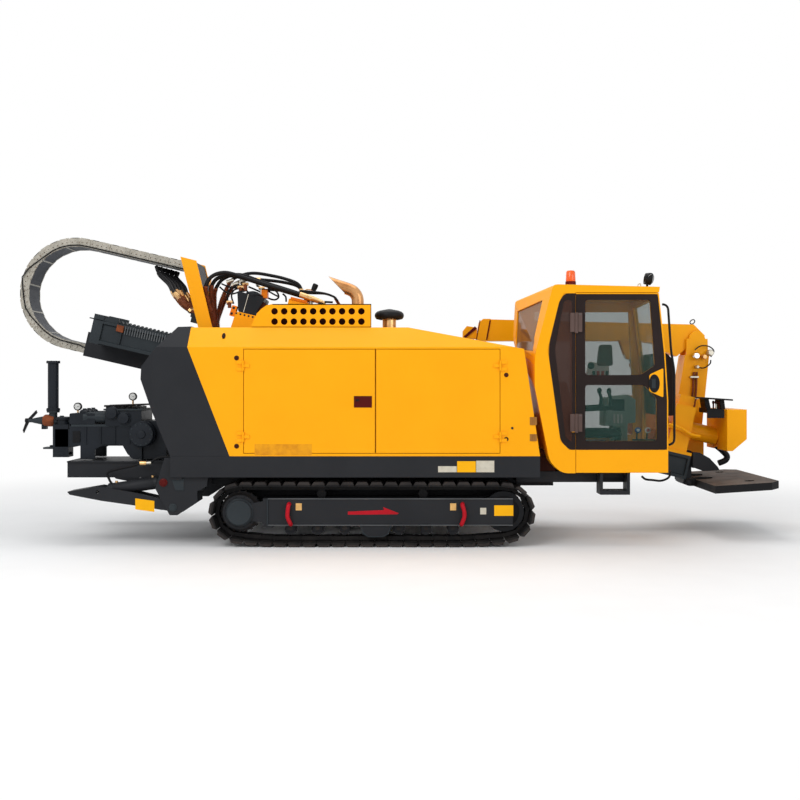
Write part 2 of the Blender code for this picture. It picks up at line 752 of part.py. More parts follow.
def stabilizer(side, tag):
    """An arm of two side plates and a floor, its wedge foot at the end."""
    low, high = sorted(
        (side * (BRACKET_OUTER - BRACKET_PLATE - MOVE_GAP), side * (BRACKET_OUTER - BRACKET_WIDTH + BRACKET_PLATE + MOVE_GAP))
    )
    outline = [
        *arc(ARM_PIVOT, 0.055, -70, 80, 6),
        (-2.62, 0.570),
        (-3.02, 0.640),
        (-3.358, 0.582),
        (-3.33, 0.550),
        (-2.985, 0.484),
        (-2.60, 0.430),
    ]
    adds = [prism(outline, low, low + ARM_SIDE_PLATE), prism(outline, high - ARM_SIDE_PLATE, high)]
    floor = [(-2.34, 0.385), (-2.60, 0.432), (-2.985, 0.486), (-3.13, 0.514), (-3.13, 0.53), (-2.60, 0.452), (-2.34, 0.405)]
    foot = [(-3.10, 0.506), (-3.33, 0.550), (-3.358, 0.582), (-3.13, 0.62)]
    adds.append(prism(floor, low + 0.01, high - 0.01))
    adds.append(prism(foot, low + 0.001, high - 0.001))
    pivot_bore = pin_bore(ARM_PIVOT, low - 0.1, high + 0.1)
    eye_bore = cross_pin(STAB_LOW_PIN, low - 0.1, high + 0.1, 0.02)
    pivot = (ARM_PIVOT[0], side * STAB_MIDDLE, ARM_PIVOT[1])
    part("stabilizer_arm_" + tag, "dark_grey", adds, [pivot_bore, eye_bore], at=pivot)
    cylinder_pair(
        ("stabilizer_barrel_" + tag, "stabilizer_rod_" + tag),
        STAB_TOP_PIN,
        STAB_LOW_PIN,
        side * STAB_MIDDLE,
        STAB_BARREL_RADIUS,
        STAB_ROD_RADIUS,
        0.70,
        0.043,
    )


# Hood


def hood_outline(wall=0.0):
    """The yellow hood seen from the side, made smaller by a wall."""
    outline = [
        (HOOD_SEAM_LOW, DECK_TOP + SEAT_GAP),
        (HOOD_FRONT_LOW[0], DECK_TOP + SEAT_GAP),
        HOOD_FRONT_TOP,
        (HOOD_SLOPE_START, HOOD_TOP),
        (HOOD_REAR, HOOD_TOP),
        (HOOD_REAR, HOOD_SHOULDER - 0.004),
    ]
    return inset(outline, wall) if wall else outline


def shoulder_cut(wall=0.0):
    """What the sloping shoulder takes off the near top edge."""
    slope = math.hypot(HOOD_SHOULDER_DEPTH, HOOD_TOP - HOOD_SHOULDER)
    rise = wall * slope / HOOD_SHOULDER_DEPTH
    near = HOOD_NEAR - 0.4
    grade = (HOOD_TOP - HOOD_SHOULDER) / HOOD_SHOULDER_DEPTH

    def height(y):
        return HOOD_SHOULDER + (y - HOOD_NEAR) * grade - rise

    outline = [(near, height(near)), (HOOD_NEAR + 1.2, height(HOOD_NEAR + 1.2)), (near, height(HOOD_NEAR + 1.2))]
    return prism(outline, -3.2, 2.2, "X")


def door_opening(rear, front, gap=0.0):
    return [
        (rear + gap, HOOD_DOOR_LOW + gap),
        (front - gap, HOOD_DOOR_LOW + gap),
        (front - gap, HOOD_DOOR_HIGH - gap),
        (rear + gap, HOOD_DOOR_HIGH - gap),
    ]


def hinge_heights():
    return (HOOD_DOOR_LOW + 0.18, HOOD_DOOR_HIGH - 0.18)


def hinge_axis_y():
    return HOOD_NEAR - HINGE_RADIUS - 0.001


def fixed_hinge(x, y, z, toward, radius=HINGE_RADIUS, length=HINGE_LENGTH, plate=0.07):
    """The fixed half: a pin with two knuckles and a leaf that reaches back to the wall."""
    third = length / 3
    reach = length / 2 - 0.004
    shapes = [cylinder((x, y, z - reach), (x, y, z + reach), radius * 0.46, 8)]
    for low in (z - length / 2, z + length / 2 - third):
        shapes.append(cylinder((x, y, low), (x, y, low + third), radius, 8))
        leaf = sorted((x, x + toward * plate))
        shapes.append(box(leaf, (y, y + radius + 0.012), (low, low + third)))
    return shapes


def moving_hinge(x, y, z, toward, radius=HINGE_RADIUS, length=HINGE_LENGTH, plate=0.07):
    """The moving half: a knuckle with its leaf, and the bore that turns on the pin."""
    third = length / 3
    low = z - third / 2 + 0.001
    high = z + third / 2 - 0.001
    leaf = sorted((x, x + toward * plate))
    adds = [
        cylinder((x, y, low), (x, y, high), radius, 8),
        box(leaf, (y, y + radius + 0.012), (low, high)),
    ]
    cut = bore_cut((x, y, low - 0.01), (x, y, high + 0.01), radius * 0.46, 8)
    return adds, cut


def hood():
    outer = combined([prism(hood_outline(), HOOD_NEAR, HOOD_FAR)], [shoulder_cut()])
    inner_outline = hood_outline(HOOD_WALL)
    inner_outline[:2] = [(x, DECK_TOP - 0.1) for x, _ in inner_outline[:2]]
    inner = combined(
        [prism(inner_outline, HOOD_NEAR + HOOD_WALL, HOOD_FAR - HOOD_WALL)], [shoulder_cut(HOOD_WALL)]
    )
    doors = [
        prism(door_opening(SEAM_REAR, SEAM_MIDDLE), HOOD_NEAR - 0.1, HOOD_NEAR + HOOD_WALL + 0.03),
        prism(door_opening(SEAM_MIDDLE, SEAM_FRONT), HOOD_NEAR - 0.1, HOOD_NEAR + HOOD_WALL + 0.03),
    ]
    post = box((SEAM_MIDDLE - 0.05, SEAM_MIDDLE + 0.05), (HOOD_NEAR + 0.055, HOOD_NEAR + 0.10), (DECK_TOP + 0.02, 2.16))
    adds = [combined([outer], [inner, *doors]), post]
    for z in hinge_heights():
        adds += fixed_hinge(SEAM_REAR, hinge_axis_y(), z, -1)
        adds += fixed_hinge(SEAM_FRONT, hinge_axis_y(), z, 1)
    part("hood_shell", "yellow", adds, at=(HOOD_REAR, HOOD_FAR, HOOD_TOP))
    hood_door("hood_door_rear", SEAM_REAR, SEAM_MIDDLE, SEAM_REAR, 1)
    hood_door("hood_door_front", SEAM_MIDDLE, SEAM_FRONT, SEAM_FRONT, -1)


def hood_door(name, rear, front, hinge_x, toward):
    gap = MOVE_GAP
    panel = prism(door_opening(rear, front, gap), HOOD_NEAR, HOOD_NEAR + HOOD_WALL)
    adds = [panel]
    cuts = []
    for z in hinge_heights():
        shapes, cut = moving_hinge(hinge_x, hinge_axis_y(), z, toward)
        adds += shapes
        cuts.append(cut)
    pivot = (hinge_x, hinge_axis_y(), (HOOD_DOOR_LOW + HOOD_DOOR_HIGH) / 2)
    part(name, "yellow", adds, cuts, at=pivot)


def rear_cowl():
    outline = [
        (HOOD_REAR - SEAT_GAP, 2.371),
        (-2.189, 2.366),
        (-2.549, 1.932),
        (-2.557, 1.794),
        (-2.454, 1.522),
        (DECK_REAR, DECK_TOP + SEAT_GAP),
        (HOOD_SEAM_LOW - SEAT_GAP * 2, DECK_TOP + SEAT_GAP),
        (HOOD_REAR - SEAT_GAP, HOOD_SHOULDER - 0.004),
    ]
    edge = [(HOOD_NEAR - 0.1, -2.7), (HOOD_NEAR + 0.09, -2.7), (HOOD_NEAR - 0.1, -2.1)]
    corner = prism([(x, y) for y, x in edge], 0.5, 2.6, "Z")
    part("rear_cowl", "dark_grey", [prism(outline, HOOD_NEAR, HOOD_FAR)], [shoulder_cut(), corner], at=(HOOD_REAR, HOOD_FAR, DECK_TOP))


def engine_block():
    shape = box((-1.15, 0.25), (-0.92, -0.30), (DECK_TOP + SEAT_GAP, 1.90))
    part("engine_block", "dark_grey", [shape], at=(-0.45, -0.61, DECK_TOP + SEAT_GAP))


def guard():
    """The perforated screen on the hood, its rear corner rounded."""
    low = HOOD_TOP + SEAT_GAP
    corner = 0.24
    outline = [
        (GUARD_FRONT, low),
        (GUARD_FRONT, GUARD_TOP),
        (GUARD_REAR + corner, GUARD_TOP),
        (GUARD_REAR + 0.175, GUARD_TOP - 0.014),
        (GUARD_REAR + 0.122, GUARD_TOP - 0.050),
        (GUARD_REAR + 0.072, GUARD_TOP - 0.100),
        (GUARD_REAR + 0.045, GUARD_TOP - 0.158),
        (GUARD_REAR, low),
    ]
    plate = prism(outline, GUARD_PLANE, GUARD_PLANE + GUARD_THICKNESS)
    foot = box((GUARD_REAR, GUARD_FRONT), (GUARD_PLANE, GUARD_PLANE + 0.07), (low, low + 0.01))
    cap = box((GUARD_REAR + corner, GUARD_FRONT), (GUARD_PLANE, GUARD_PLANE + 0.09), (GUARD_TOP - 0.012, GUARD_TOP))
    holes = []
    for z in GUARD_ROWS:
        for index in range(GUARD_COLUMNS):
            x = GUARD_FIRST_HOLE + GUARD_PITCH * index
            holes.append(cross_pin((x, z), GUARD_PLANE - 0.02, GUARD_PLANE + 0.03, GUARD_HOLE_RADIUS, 10))
    part("guard", "yellow", [plate, foot, cap], holes, at=(GUARD_REAR, GUARD_PLANE, low))


def exhaust():
    y = -0.62
    base = HOOD_TOP + SEAT_GAP
    route = rounded_path([(-0.24, y, base), (-0.24, y, 2.765), (-0.62, y, 2.89)], 0.17, 4)
    bore_route = rounded_path([(-0.24, y, base + 0.02), (-0.24, y, 2.765), (-0.74, y, 2.93)], 0.17, 4)
    mouth = prism([(-0.575, 2.95), (-0.385, 2.755), (-0.6, 2.5), (-0.95, 2.8), (-0.9, 3.2), (-0.575, 3.2)], y - 0.2, y + 0.2)
    shapes = [pipe(route, EXHAUST_RADIUS, 12), cylinder((-0.24, y, base), (-0.24, y, base + 0.02), 0.10, 12)]
    part("exhaust", "bright_metal", shapes, [pipe(bore_route, EXHAUST_RADIUS - EXHAUST_WALL, 12), mouth], at=(-0.24, y, base))


def precleaner():
    base = HOOD_TOP + SEAT_GAP
    profile = [(0, 0.095), (0.012, 0.095), (0.014, 0.085), (0.12, 0.085), (0.13, 0.155), (0.15, 0.165), (0.19, 0.165), (0.215, 0.14), (0.225, 0.06)]
    part("precleaner", "black", [turned(profile, (0.11, -0.55, base), (0, 0, 1), 20)], at=(0.11, -0.55, base))


# Cab

CAB_NEAR_OUTLINE = [
    (1.870, 2.812),
    (3.010, 2.784),
    (2.997, 2.703),
    (3.066, 2.087),
    (3.098, 1.573),
    (3.098, CAB_FLOOR),
    (1.959, CAB_FLOOR),
    (1.830, 0.914),
    (1.672, 1.705),
    (1.672, 2.061),
]
CAB_FAR_OUTLINE = [
    (1.580, 2.720),
    (2.995, 2.735),
    (2.980, 2.680),
    (3.056, 2.087),
    (3.098, 1.573),
    (3.098, CAB_FLOOR),
    (1.959, CAB_FLOOR),
    (1.830, 0.914),
    (1.690, 1.980),
    (1.550, 2.200),
]
CAB_CORNER_RADII = (0.045, 0, 0, 0, 0, 0, 0.07, 0.07, 0, 0.12)
DOOR_WINDOW_UPPER = [(2.21, 1.84), (2.80, 1.84), (2.955, 1.94), (2.905, 2.643), (2.21, 2.643)]
DOOR_WINDOW_LOWER = [(2.21, 1.134), (2.975, 1.134), (2.975, 1.594), (2.84, 1.733), (2.21, 1.733)]


def softened(outline, radii, steps=3):
    """A closed outline with some corners rounded; both sides of the cab get the same count."""
    made = []
    for index, corner in enumerate(outline):
        if not radii[index]:
            made.append(corner)
            continue
        middle = Vector(corner)
        before = (Vector(outline[index - 1]) - middle).normalized() * radii[index]
        after = (Vector(outline[(index + 1) % len(outline)]) - middle).normalized() * radii[index]
        for step in range(steps + 1):
            t = step / steps
            made.append(tuple(middle + before * (1 - t) ** 2 + after * t**2))
    return made


def cab_form(wall, near, far):
    """The cab's body between two planes, its walls moved in, following the sides' lean."""
    near_ring = inset(CAB_NEAR_OUTLINE, wall)
    far_ring = inset(CAB_FAR_OUTLINE, wall)
    if wall <= 0:
        near_ring = softened(near_ring, CAB_CORNER_RADII)
        far_ring = softened(far_ring, CAB_CORNER_RADII)
    sections = []
    for y in (near, far):
        t = (y - CAB_NEAR) / (CAB_FAR - CAB_NEAR)
        ring = [(a[0] + (b[0] - a[0]) * t, y, a[1] + (b[1] - a[1]) * t) for a, b in zip(near_ring, far_ring)]
        sections.append(ring)
    return loft(sections)


def cab_windows(gap=0.0):
    """The through cuts of the fixed windows."""
    quarter = [(-0.97 + gap, 2.10 + gap), (-0.16 - gap, 2.14 + gap), (-0.16 - gap, 2.58 - gap), (-0.90 + gap, 2.66 - gap)]
    front = [(-0.99 + gap, 1.02 + gap), (-0.12 - gap, 1.02 + gap), (-0.12 - gap, 2.62 - gap), (-0.99 + gap, 2.66 - gap)]
    far = [(2.02 + gap, 1.15 + gap), (2.95 - gap, 1.15 + gap), (2.95 - gap, 1.60), (2.90 - gap, 2.58 - gap), (1.80 + gap, 2.58 - gap), (1.80 + gap, 2.05)]
    return {
        "quarter": prism(quarter, 1.40, 2.10, "X"),
        "front": prism(front, 2.80, 3.30, "X"),
        "far": prism(far, -0.30, 0.10),
    }


def side_glass_outline(gap=0.0):
    """The dark fixed window behind the door."""
    return [
        (1.985 + gap, 2.714 - gap),
        (1.931 + gap, 2.62),
        (1.809 + gap, 2.116),
        (1.946 + gap, 1.132),
        (2.042, GLASS_LOW + gap),
        (2.098 - gap, GLASS_LOW + gap),
        (2.098 - gap, 2.714 - gap),
    ]


def door_opening_outline():
    return [(2.17, 0.88), (3.02, 0.88), (3.02, 1.58), (2.985, 2.087), (2.925, 2.65), (2.17, 2.65)]


def cab():
    outer = cab_form(0.0, CAB_NEAR, CAB_FAR)
    room = cab_form(CAB_WALL, CAB_NEAR + CAB_DOOR_WALL, CAB_FAR - CAB_WALL)
    rebate_outline = [(DOOR_REAR - MOVE_GAP, 0.5), (3.4, 0.5), (3.4, DOOR_TOP + MOVE_GAP), (DOOR_REAR - MOVE_GAP, DOOR_TOP + MOVE_GAP)]
    rebate = prism(rebate_outline, CAB_NEAR - 0.1, CAB_NEAR + DOOR_REBATE)
    entry = prism(door_opening_outline(), CAB_NEAR - 0.1, CAB_NEAR + CAB_DOOR_WALL + 0.02)
    pocket = prism(side_glass_outline(), CAB_NEAR - 0.1, CAB_NEAR + BAND_THICKNESS + SEAT_GAP)
    side_hole = [(1.96, 2.60), (1.87, 2.12), (1.99, 1.16), (2.06, 1.10), (2.06, 2.65), (1.99, 2.65)]
    side_cut = prism(side_hole, CAB_NEAR - 0.1, CAB_NEAR + CAB_DOOR_WALL + 0.02)
    windows = cab_windows()
    cuts = [room, rebate, entry, pocket, side_cut, *windows.values()]
    adds = [combined([outer], cuts)]
    for z in cab_hinge_heights():
        adds += fixed_hinge(DOOR_REAR, cab_hinge_y(), z, -1, 0.017, 0.19, 0.05)
    part("cab_body", "yellow", adds, at=(DOOR_REAR, CAB_FAR, CAB_FLOOR))
    side = prism(side_glass_outline(SEAT_GAP), CAB_NEAR, CAB_NEAR + BAND_THICKNESS)
    part("glass_side", "tinted_glass", [side], cuts=side_hinge_notches(), at=(2.0, CAB_NEAR, 1.9))
    skin_outer = cab_form(0.020, CAB_NEAR - 0.05, CAB_FAR + 0.05)
    skin_inner = cab_form(0.020 + GLASS_THICKNESS, CAB_NEAR - 0.06, CAB_FAR + 0.06)
    panes = cab_windows(SEAT_GAP)
    skin = combined([skin_outer], [skin_inner])
    part("glass_quarter", "tinted_glass", [skin.copy()], keep=[panes["quarter"]], at=(1.7, -0.5, 2.3))
    part("glass_front", "glass", [skin], keep=[panes["front"]], at=(3.0, -0.5, 1.9))
    far_slab = box((1.5, 3.2), (CAB_FAR - 0.028, CAB_FAR - 0.022), (1.0, 2.7))
    part("glass_far", "glass", [far_slab], keep=[panes["far"]], at=(2.4, CAB_FAR, 1.9))


def side_hinge_notches():
    """Room for the fixed hinge leaves that lie over the window's edge."""
    notches = []
    for z in cab_hinge_heights():
        notches.append(box((2.055, 2.2), (CAB_NEAR - 0.1, CAB_NEAR + 0.05), (z - 0.097, z + 0.097)))
    return notches


def cab_hinge_y():
    return CAB_NEAR - 0.018


def cab_hinge_heights():
    return (1.325, 2.405)


def door_outline(gap=0.0):
    """The door's outline, its front edge along the cab's front."""
    return [
        (DOOR_REAR + gap, CAB_FLOOR + 0.006 + gap),
        (3.098 - gap, CAB_FLOOR + 0.006 + gap),
        (3.098 - gap, 1.573),
        (3.066 - gap, 2.087),
        (2.9985 - gap, DOOR_TOP - gap),
        (DOOR_REAR + gap, DOOR_TOP - gap),
    ]


def band_outline(gap=0.0):
    """The dark border round the door's glass."""
    return [(DOOR_REAR + 0.02 + gap, GLASS_LOW + gap)] + [
        (3.085 - gap, GLASS_LOW + gap),
        (3.085 - gap, 1.573),
        (3.052 - gap, 2.087),
        (2.986 - gap, DOOR_TOP - 0.012 - gap),
        (DOOR_REAR + 0.02 + gap, DOOR_TOP - 0.012 - gap),
    ]


def cab_door():
    outer = CAB_NEAR
    inner = CAB_NEAR + DOOR_THICKNESS
    depth = BAND_THICKNESS + GLASS_THICKNESS + 3 * SEAT_GAP
    panel = prism(door_outline(), outer, inner)
    rebate = prism(band_outline(), outer - 0.1, outer + depth)
    holes = [prism(outline, outer - 0.1, inner + 0.1) for outline in (DOOR_WINDOW_UPPER, DOOR_WINDOW_LOWER)]
    hinges = []
    bores = []
    for z in cab_hinge_heights():
        shapes, pin_cut = moving_hinge(DOOR_REAR, cab_hinge_y(), z, 1, 0.017, 0.19, 0.018)
        hinges += shapes
        bores.append(pin_cut)
    pivot = (DOOR_REAR, cab_hinge_y(), 1.75)
    empty = axis_empty("cab_door_axis", pivot)
    shift = Matrix.Translation(-Vector(pivot))
    body = combined([combined([panel], [rebate, *holes]), *hinges], bores)
    wider = [inset(outline, -0.002) for outline in (DOOR_WINDOW_UPPER, DOOR_WINDOW_LOWER)]
    border = prism(band_outline(SEAT_GAP), outer, outer + BAND_THICKNESS)
    band = combined([border], [prism(outline, outer - 0.1, outer + 0.1) for outline in wider])
    glass_near = outer + BAND_THICKNESS + SEAT_GAP
    pane = prism(band_outline(0.004), glass_near, glass_near + GLASS_THICKNESS)
    for mesh in (body, band, pane):
        mesh.transform(shift)
    part("cab_door", "yellow", [body], parent=empty)
    part("door_band", "black", [band], parent=empty)
    part("glass_door", "glass", [pane], parent=empty)


def cab_interior():
    floor = CAB_FLOOR + CAB_WALL + SEAT_GAP
    seat = [
        box((2.22, 2.58), (-0.80, -0.42), (floor, floor + 0.30)),
        prism([(2.14, floor + 0.28), (2.68, floor + 0.33), (2.69, floor + 0.43), (2.14, floor + 0.40)], -0.86, -0.36),
        prism([(2.12, floor + 0.30), (2.24, floor + 0.36), (2.14, floor + 1.06), (2.02, floor + 1.03)], -0.84, -0.38),
    ]
    part("seat", "seat_fabric", seat, at=(2.4, -0.61, floor))
    console = [
        box((2.66, 2.84), (-0.30, -0.14), (floor, floor + 0.5)),
        prism([(2.55, floor + 0.42), (2.92, floor + 0.46), (2.92, floor + 0.72), (2.84, floor + 0.78), (2.55, floor + 0.74)], -0.36, -0.12),
    ]
    part("console", "pale_plastic", console, at=(2.74, -0.24, floor))


def roof_form():
    return cab_form(-SEAT_GAP, CAB_NEAR - 0.01, CAB_FAR + 0.01)


def beacon():
    x, y = 2.05, -0.93
    profile = [(0, 0.052), (0.03, 0.052), (0.034, 0.044), (0.10, 0.042), (0.125, 0.03), (0.132, 0.008)]
    part("beacon", "amber", [turned(profile, (x, y, 2.77), (0, 0, 1), 16)], [roof_form()], at=(x, y, 2.80))


def work_lamp():
    x, y, z = 2.93, -0.90, 2.885
    shapes = [
        cylinder((x - 0.035, y, z + 0.006), (x + 0.035, y, z - 0.006), 0.062, 16),
        pipe([(x - 0.01, y, z - 0.04), (x - 0.01, y, z - 0.12)], 0.012, 8),
        box((x - 0.05, x + 0.03), (y - 0.03, y + 0.03), (2.74, 2.792)),
    ]
    part("work_lamp", "black", shapes, [roof_form()], at=(x, y, z))


def grab_rail():
    y = -1.018
    route = rounded_path(
        [(2.96, y, 2.605), (3.115, y, 2.60), (3.185, y, 1.88), (3.185, y, 1.10), (3.05, y, 1.10)], 0.07, 4
    )
    part("grab_rail", "black", [pipe(route, 0.0125, 8)], [roof_form()], at=(3.185, y, 1.5))


def cab_step():
    top = CAB_FLOOR - SEAT_GAP
    rear = CAB_NEAR + CAB_BEAM_INSET - 0.012
    y = (CAB_NEAR + 0.02, rear)
    shapes = [
        box((2.375, 2.405), y, (0.56, top)),
        box((2.665, 2.695), y, (0.56, top)),
        box((2.375, 2.695), y, (0.557, 0.60)),
        box((2.375, 2.695), (rear - 0.028, rear), (0.72, top)),
    ]
    part("cab_step", "dark_grey", shapes, at=(2.535, rear, top))


# Mast, in its own frame


def mast_beam(frame):
    """Two rails joined by a web, the rack between them and the lugs below."""
    near_rail = [
        (BEAM_NEAR, BEAM_W_LOW),
        (BEAM_NEAR + RAIL_WIDTH, BEAM_W_LOW),
        (BEAM_NEAR + RAIL_WIDTH, BEAM_W_HIGH),
        (BEAM_NEAR, BEAM_W_HIGH),
        (BEAM_NEAR, BEAM_W_HIGH - 0.035),
        (BEAM_NEAR + 0.028, BEAM_W_HIGH - 0.05),
        (BEAM_NEAR + 0.028, BEAM_W_LOW + 0.05),
        (BEAM_NEAR, BEAM_W_LOW + 0.035),
    ]
    far_rail = [(BEAM_NEAR + BEAM_FAR - y, w) for y, w in near_rail]
    adds = [prism(rail, BEAM_START, BEAM_END, "X") for rail in (near_rail, far_rail)]
    adds.append(box((BEAM_START, BEAM_END), (BEAM_NEAR + 0.05, BEAM_FAR - 0.05), (0.24, 0.27)))
    adds.append(box((BEAM_START, BEAM_START + 0.12), (BEAM_NEAR, BEAM_FAR), (BEAM_W_LOW - 0.01, BEAM_W_HIGH + 0.06)))
    adds.append(box((BEAM_END - 0.03, BEAM_END), (BEAM_NEAR, BEAM_FAR), (BEAM_W_LOW, BEAM_W_HIGH)))
    adds.append(box((RACK_START, RACK_END), (0.30, 0.40), (0.25, BEAM_W_HIGH + 0.012)))
    adds.append(rack_teeth())
    pivot = [(-0.28, 0.25), (-0.28, BEAM_W_LOW), *arc((0, 0), 0.095, 200, 340, 6), (0.28, BEAM_W_LOW), (0.28, 0.25)]
    adds.append(prism(pivot, 0.20, 0.50))
    pivot_bore = bore_cut((0, 0.0, 0), (0, 0.7, 0), MAST_PIN_RADIUS, phase=0.5)
    part("mast_beam", "dark_grey", adds, [pivot_bore], parent=frame)


def mast_lugs(frame):
    """The bracket under the beam that the mast cylinder's eye hangs in."""
    eye = in_mast(MAST_CYL_EYE)
    top = BEAM_W_LOW - SEAT_GAP
    lug = [(eye[0] - 0.13, top - 0.01), *arc(eye, 0.05, 190, 350, 6), (eye[0] + 0.13, top - 0.01)]
    adds = [box((eye[0] - 0.17, eye[0] + 0.17), (BEAM_NEAR, BEAM_FAR), (top - 0.02, top))]
    for y in (DRILL_Y - 0.085, DRILL_Y + 0.055):
        adds.append(prism(lug, y, y + 0.03))
    cuts = [
        cross_pin(eye, BEAM_NEAR, BEAM_FAR, 0.02),
        box((eye[0] - 0.10, eye[0] + 0.10), (DRILL_Y - 0.055, DRILL_Y + 0.055), (top - 0.1, top + 0.1)),
    ]
    part("mast_lugs", "dark_grey", adds, cuts, parent=frame, at=(eye[0], DRILL_Y, top))


def rack_teeth():
    """The rack's teeth, one rise and one fall each."""
    count = int((RACK_END - RACK_START) / RACK_PITCH)
    root = BEAM_W_HIGH + 0.010
    tip = BEAM_W_HIGH + RACK_HEIGHT
    outline = [(RACK_START, root - 0.02)]
    for index in range(count):
        left = RACK_START + index * RACK_PITCH
        outline.append((left, root))
        outline.append((left + RACK_PITCH * 0.5, tip))
    outline.append((RACK_START + count * RACK_PITCH, root))
    outline.append((RACK_START + count * RACK_PITCH, root - 0.02))
    return prism(outline, 0.305, 0.395)


def in_mast(point):
    """A world (x, z) in the mast's own (u, w)."""
    slope = math.radians(MAST_SLOPE)
    x, z = point[0] - MAST_PIVOT[0], point[1] - MAST_PIVOT[1]
    return (x * math.cos(slope) - z * math.sin(slope), x * math.sin(slope) + z * math.cos(slope))


def out_of_mast(point):
    """A mast (u, w) in world (x, z)."""
    slope = math.radians(MAST_SLOPE)
    u, w = point
    return (
        MAST_PIVOT[0] + u * math.cos(slope) + w * math.sin(slope),
        MAST_PIVOT[1] - u * math.sin(slope) + w * math.cos(slope),
    )


def chain_tray(frame):
    low = CHAIN_LOW_W - CHAIN_HEIGHT / 2 - SEAT_GAP - TRAY_THICKNESS
    high = low + TRAY_THICKNESS
    adds = [box((TRAY_START, TRAY_END), (CHAIN_NEAR - 0.02, CHAIN_FAR + 0.02), (low, high))]
    adds.append(box((TRAY_START, TRAY_END), (CHAIN_FAR + SEAT_GAP * 2, CHAIN_FAR + 0.02), (low, high + 0.06)))
    adds.append(box((TRAY_START, TRAY_END), (BEAM_FAR + SEAT_GAP, CHAIN_NEAR - SEAT_GAP * 2), (low, BEAM_W_LOW + 0.10)))
    part("chain_tray", "dark_grey", adds, parent=frame, at=(TRAY_START, BEAM_FAR, low))


def chain_line():
    """Points of the chain's middle line at every link, from its fixed end to its moving end."""
    top = CHAIN_LOW_W + 2 * CHAIN_RADIUS
    runs = [CHAIN_FIXED_END - CHAIN_BEND_U, math.pi * CHAIN_RADIUS, CHAIN_MOVING_END - CHAIN_BEND_U]
    count = round(sum(runs) / CHAIN_PITCH)
    step = sum(runs) / count
    line = []
    for index in range(count + 1):
        s = index * step
        if s <= runs[0]:
            line.append(((CHAIN_FIXED_END - s, CHAIN_LOW_W), (0.0, 1.0)))
        elif s <= runs[0] + runs[1]:
            angle = (s - runs[0]) / CHAIN_RADIUS
            center = (CHAIN_BEND_U, CHAIN_LOW_W + CHAIN_RADIUS)
            inward = (math.sin(angle), math.cos(angle))
            line.append(((center[0] - inward[0] * CHAIN_RADIUS, center[1] - inward[1] * CHAIN_RADIUS), inward))
        else:
            line.append(((CHAIN_BEND_U + s - runs[0] - runs[1], top), (0.0, -1.0)))
    return line


def drag_chain(frame):
    """Two side bands in the loop's form with a stay across each link, inside and outside."""
    line = chain_line()
    half = CHAIN_HEIGHT / 2
    inner = [(p[0] + n[0] * half, p[1] + n[1] * half) for p, n in line]
    outer = [(p[0] - n[0] * half, p[1] - n[1] * half) for p, n in line]
    outline = inner + outer[::-1]
    adds = [
        prism(outline, CHAIN_NEAR, CHAIN_NEAR + CHAIN_SIDE),
        prism(outline, CHAIN_FAR - CHAIN_SIDE, CHAIN_FAR),
    ]
    for index, ((p, n), (q, m)) in enumerate(zip(line, line[1:])):
        for sign in (-1, 1) if index % 2 else (-1,):
            stay = []
            for t, depth in ((0.25, 0.80), (0.75, 0.80), (0.75, 0.98), (0.25, 0.98)):
                a = [p[i] + n[i] * half * depth * sign for i in (0, 1)]
                b = [q[i] + m[i] * half * depth * sign for i in (0, 1)]
                stay.append((a[0] + (b[0] - a[0]) * t, a[1] + (b[1] - a[1]) * t))
            adds.append(prism(stay, CHAIN_NEAR + CHAIN_SIDE * 0.5, CHAIN_FAR - CHAIN_SIDE * 0.5))
    part("drag_chain", "chain", adds, parent=frame, at=(CHAIN_FIXED_END, CHAIN_NEAR, CHAIN_LOW_W))


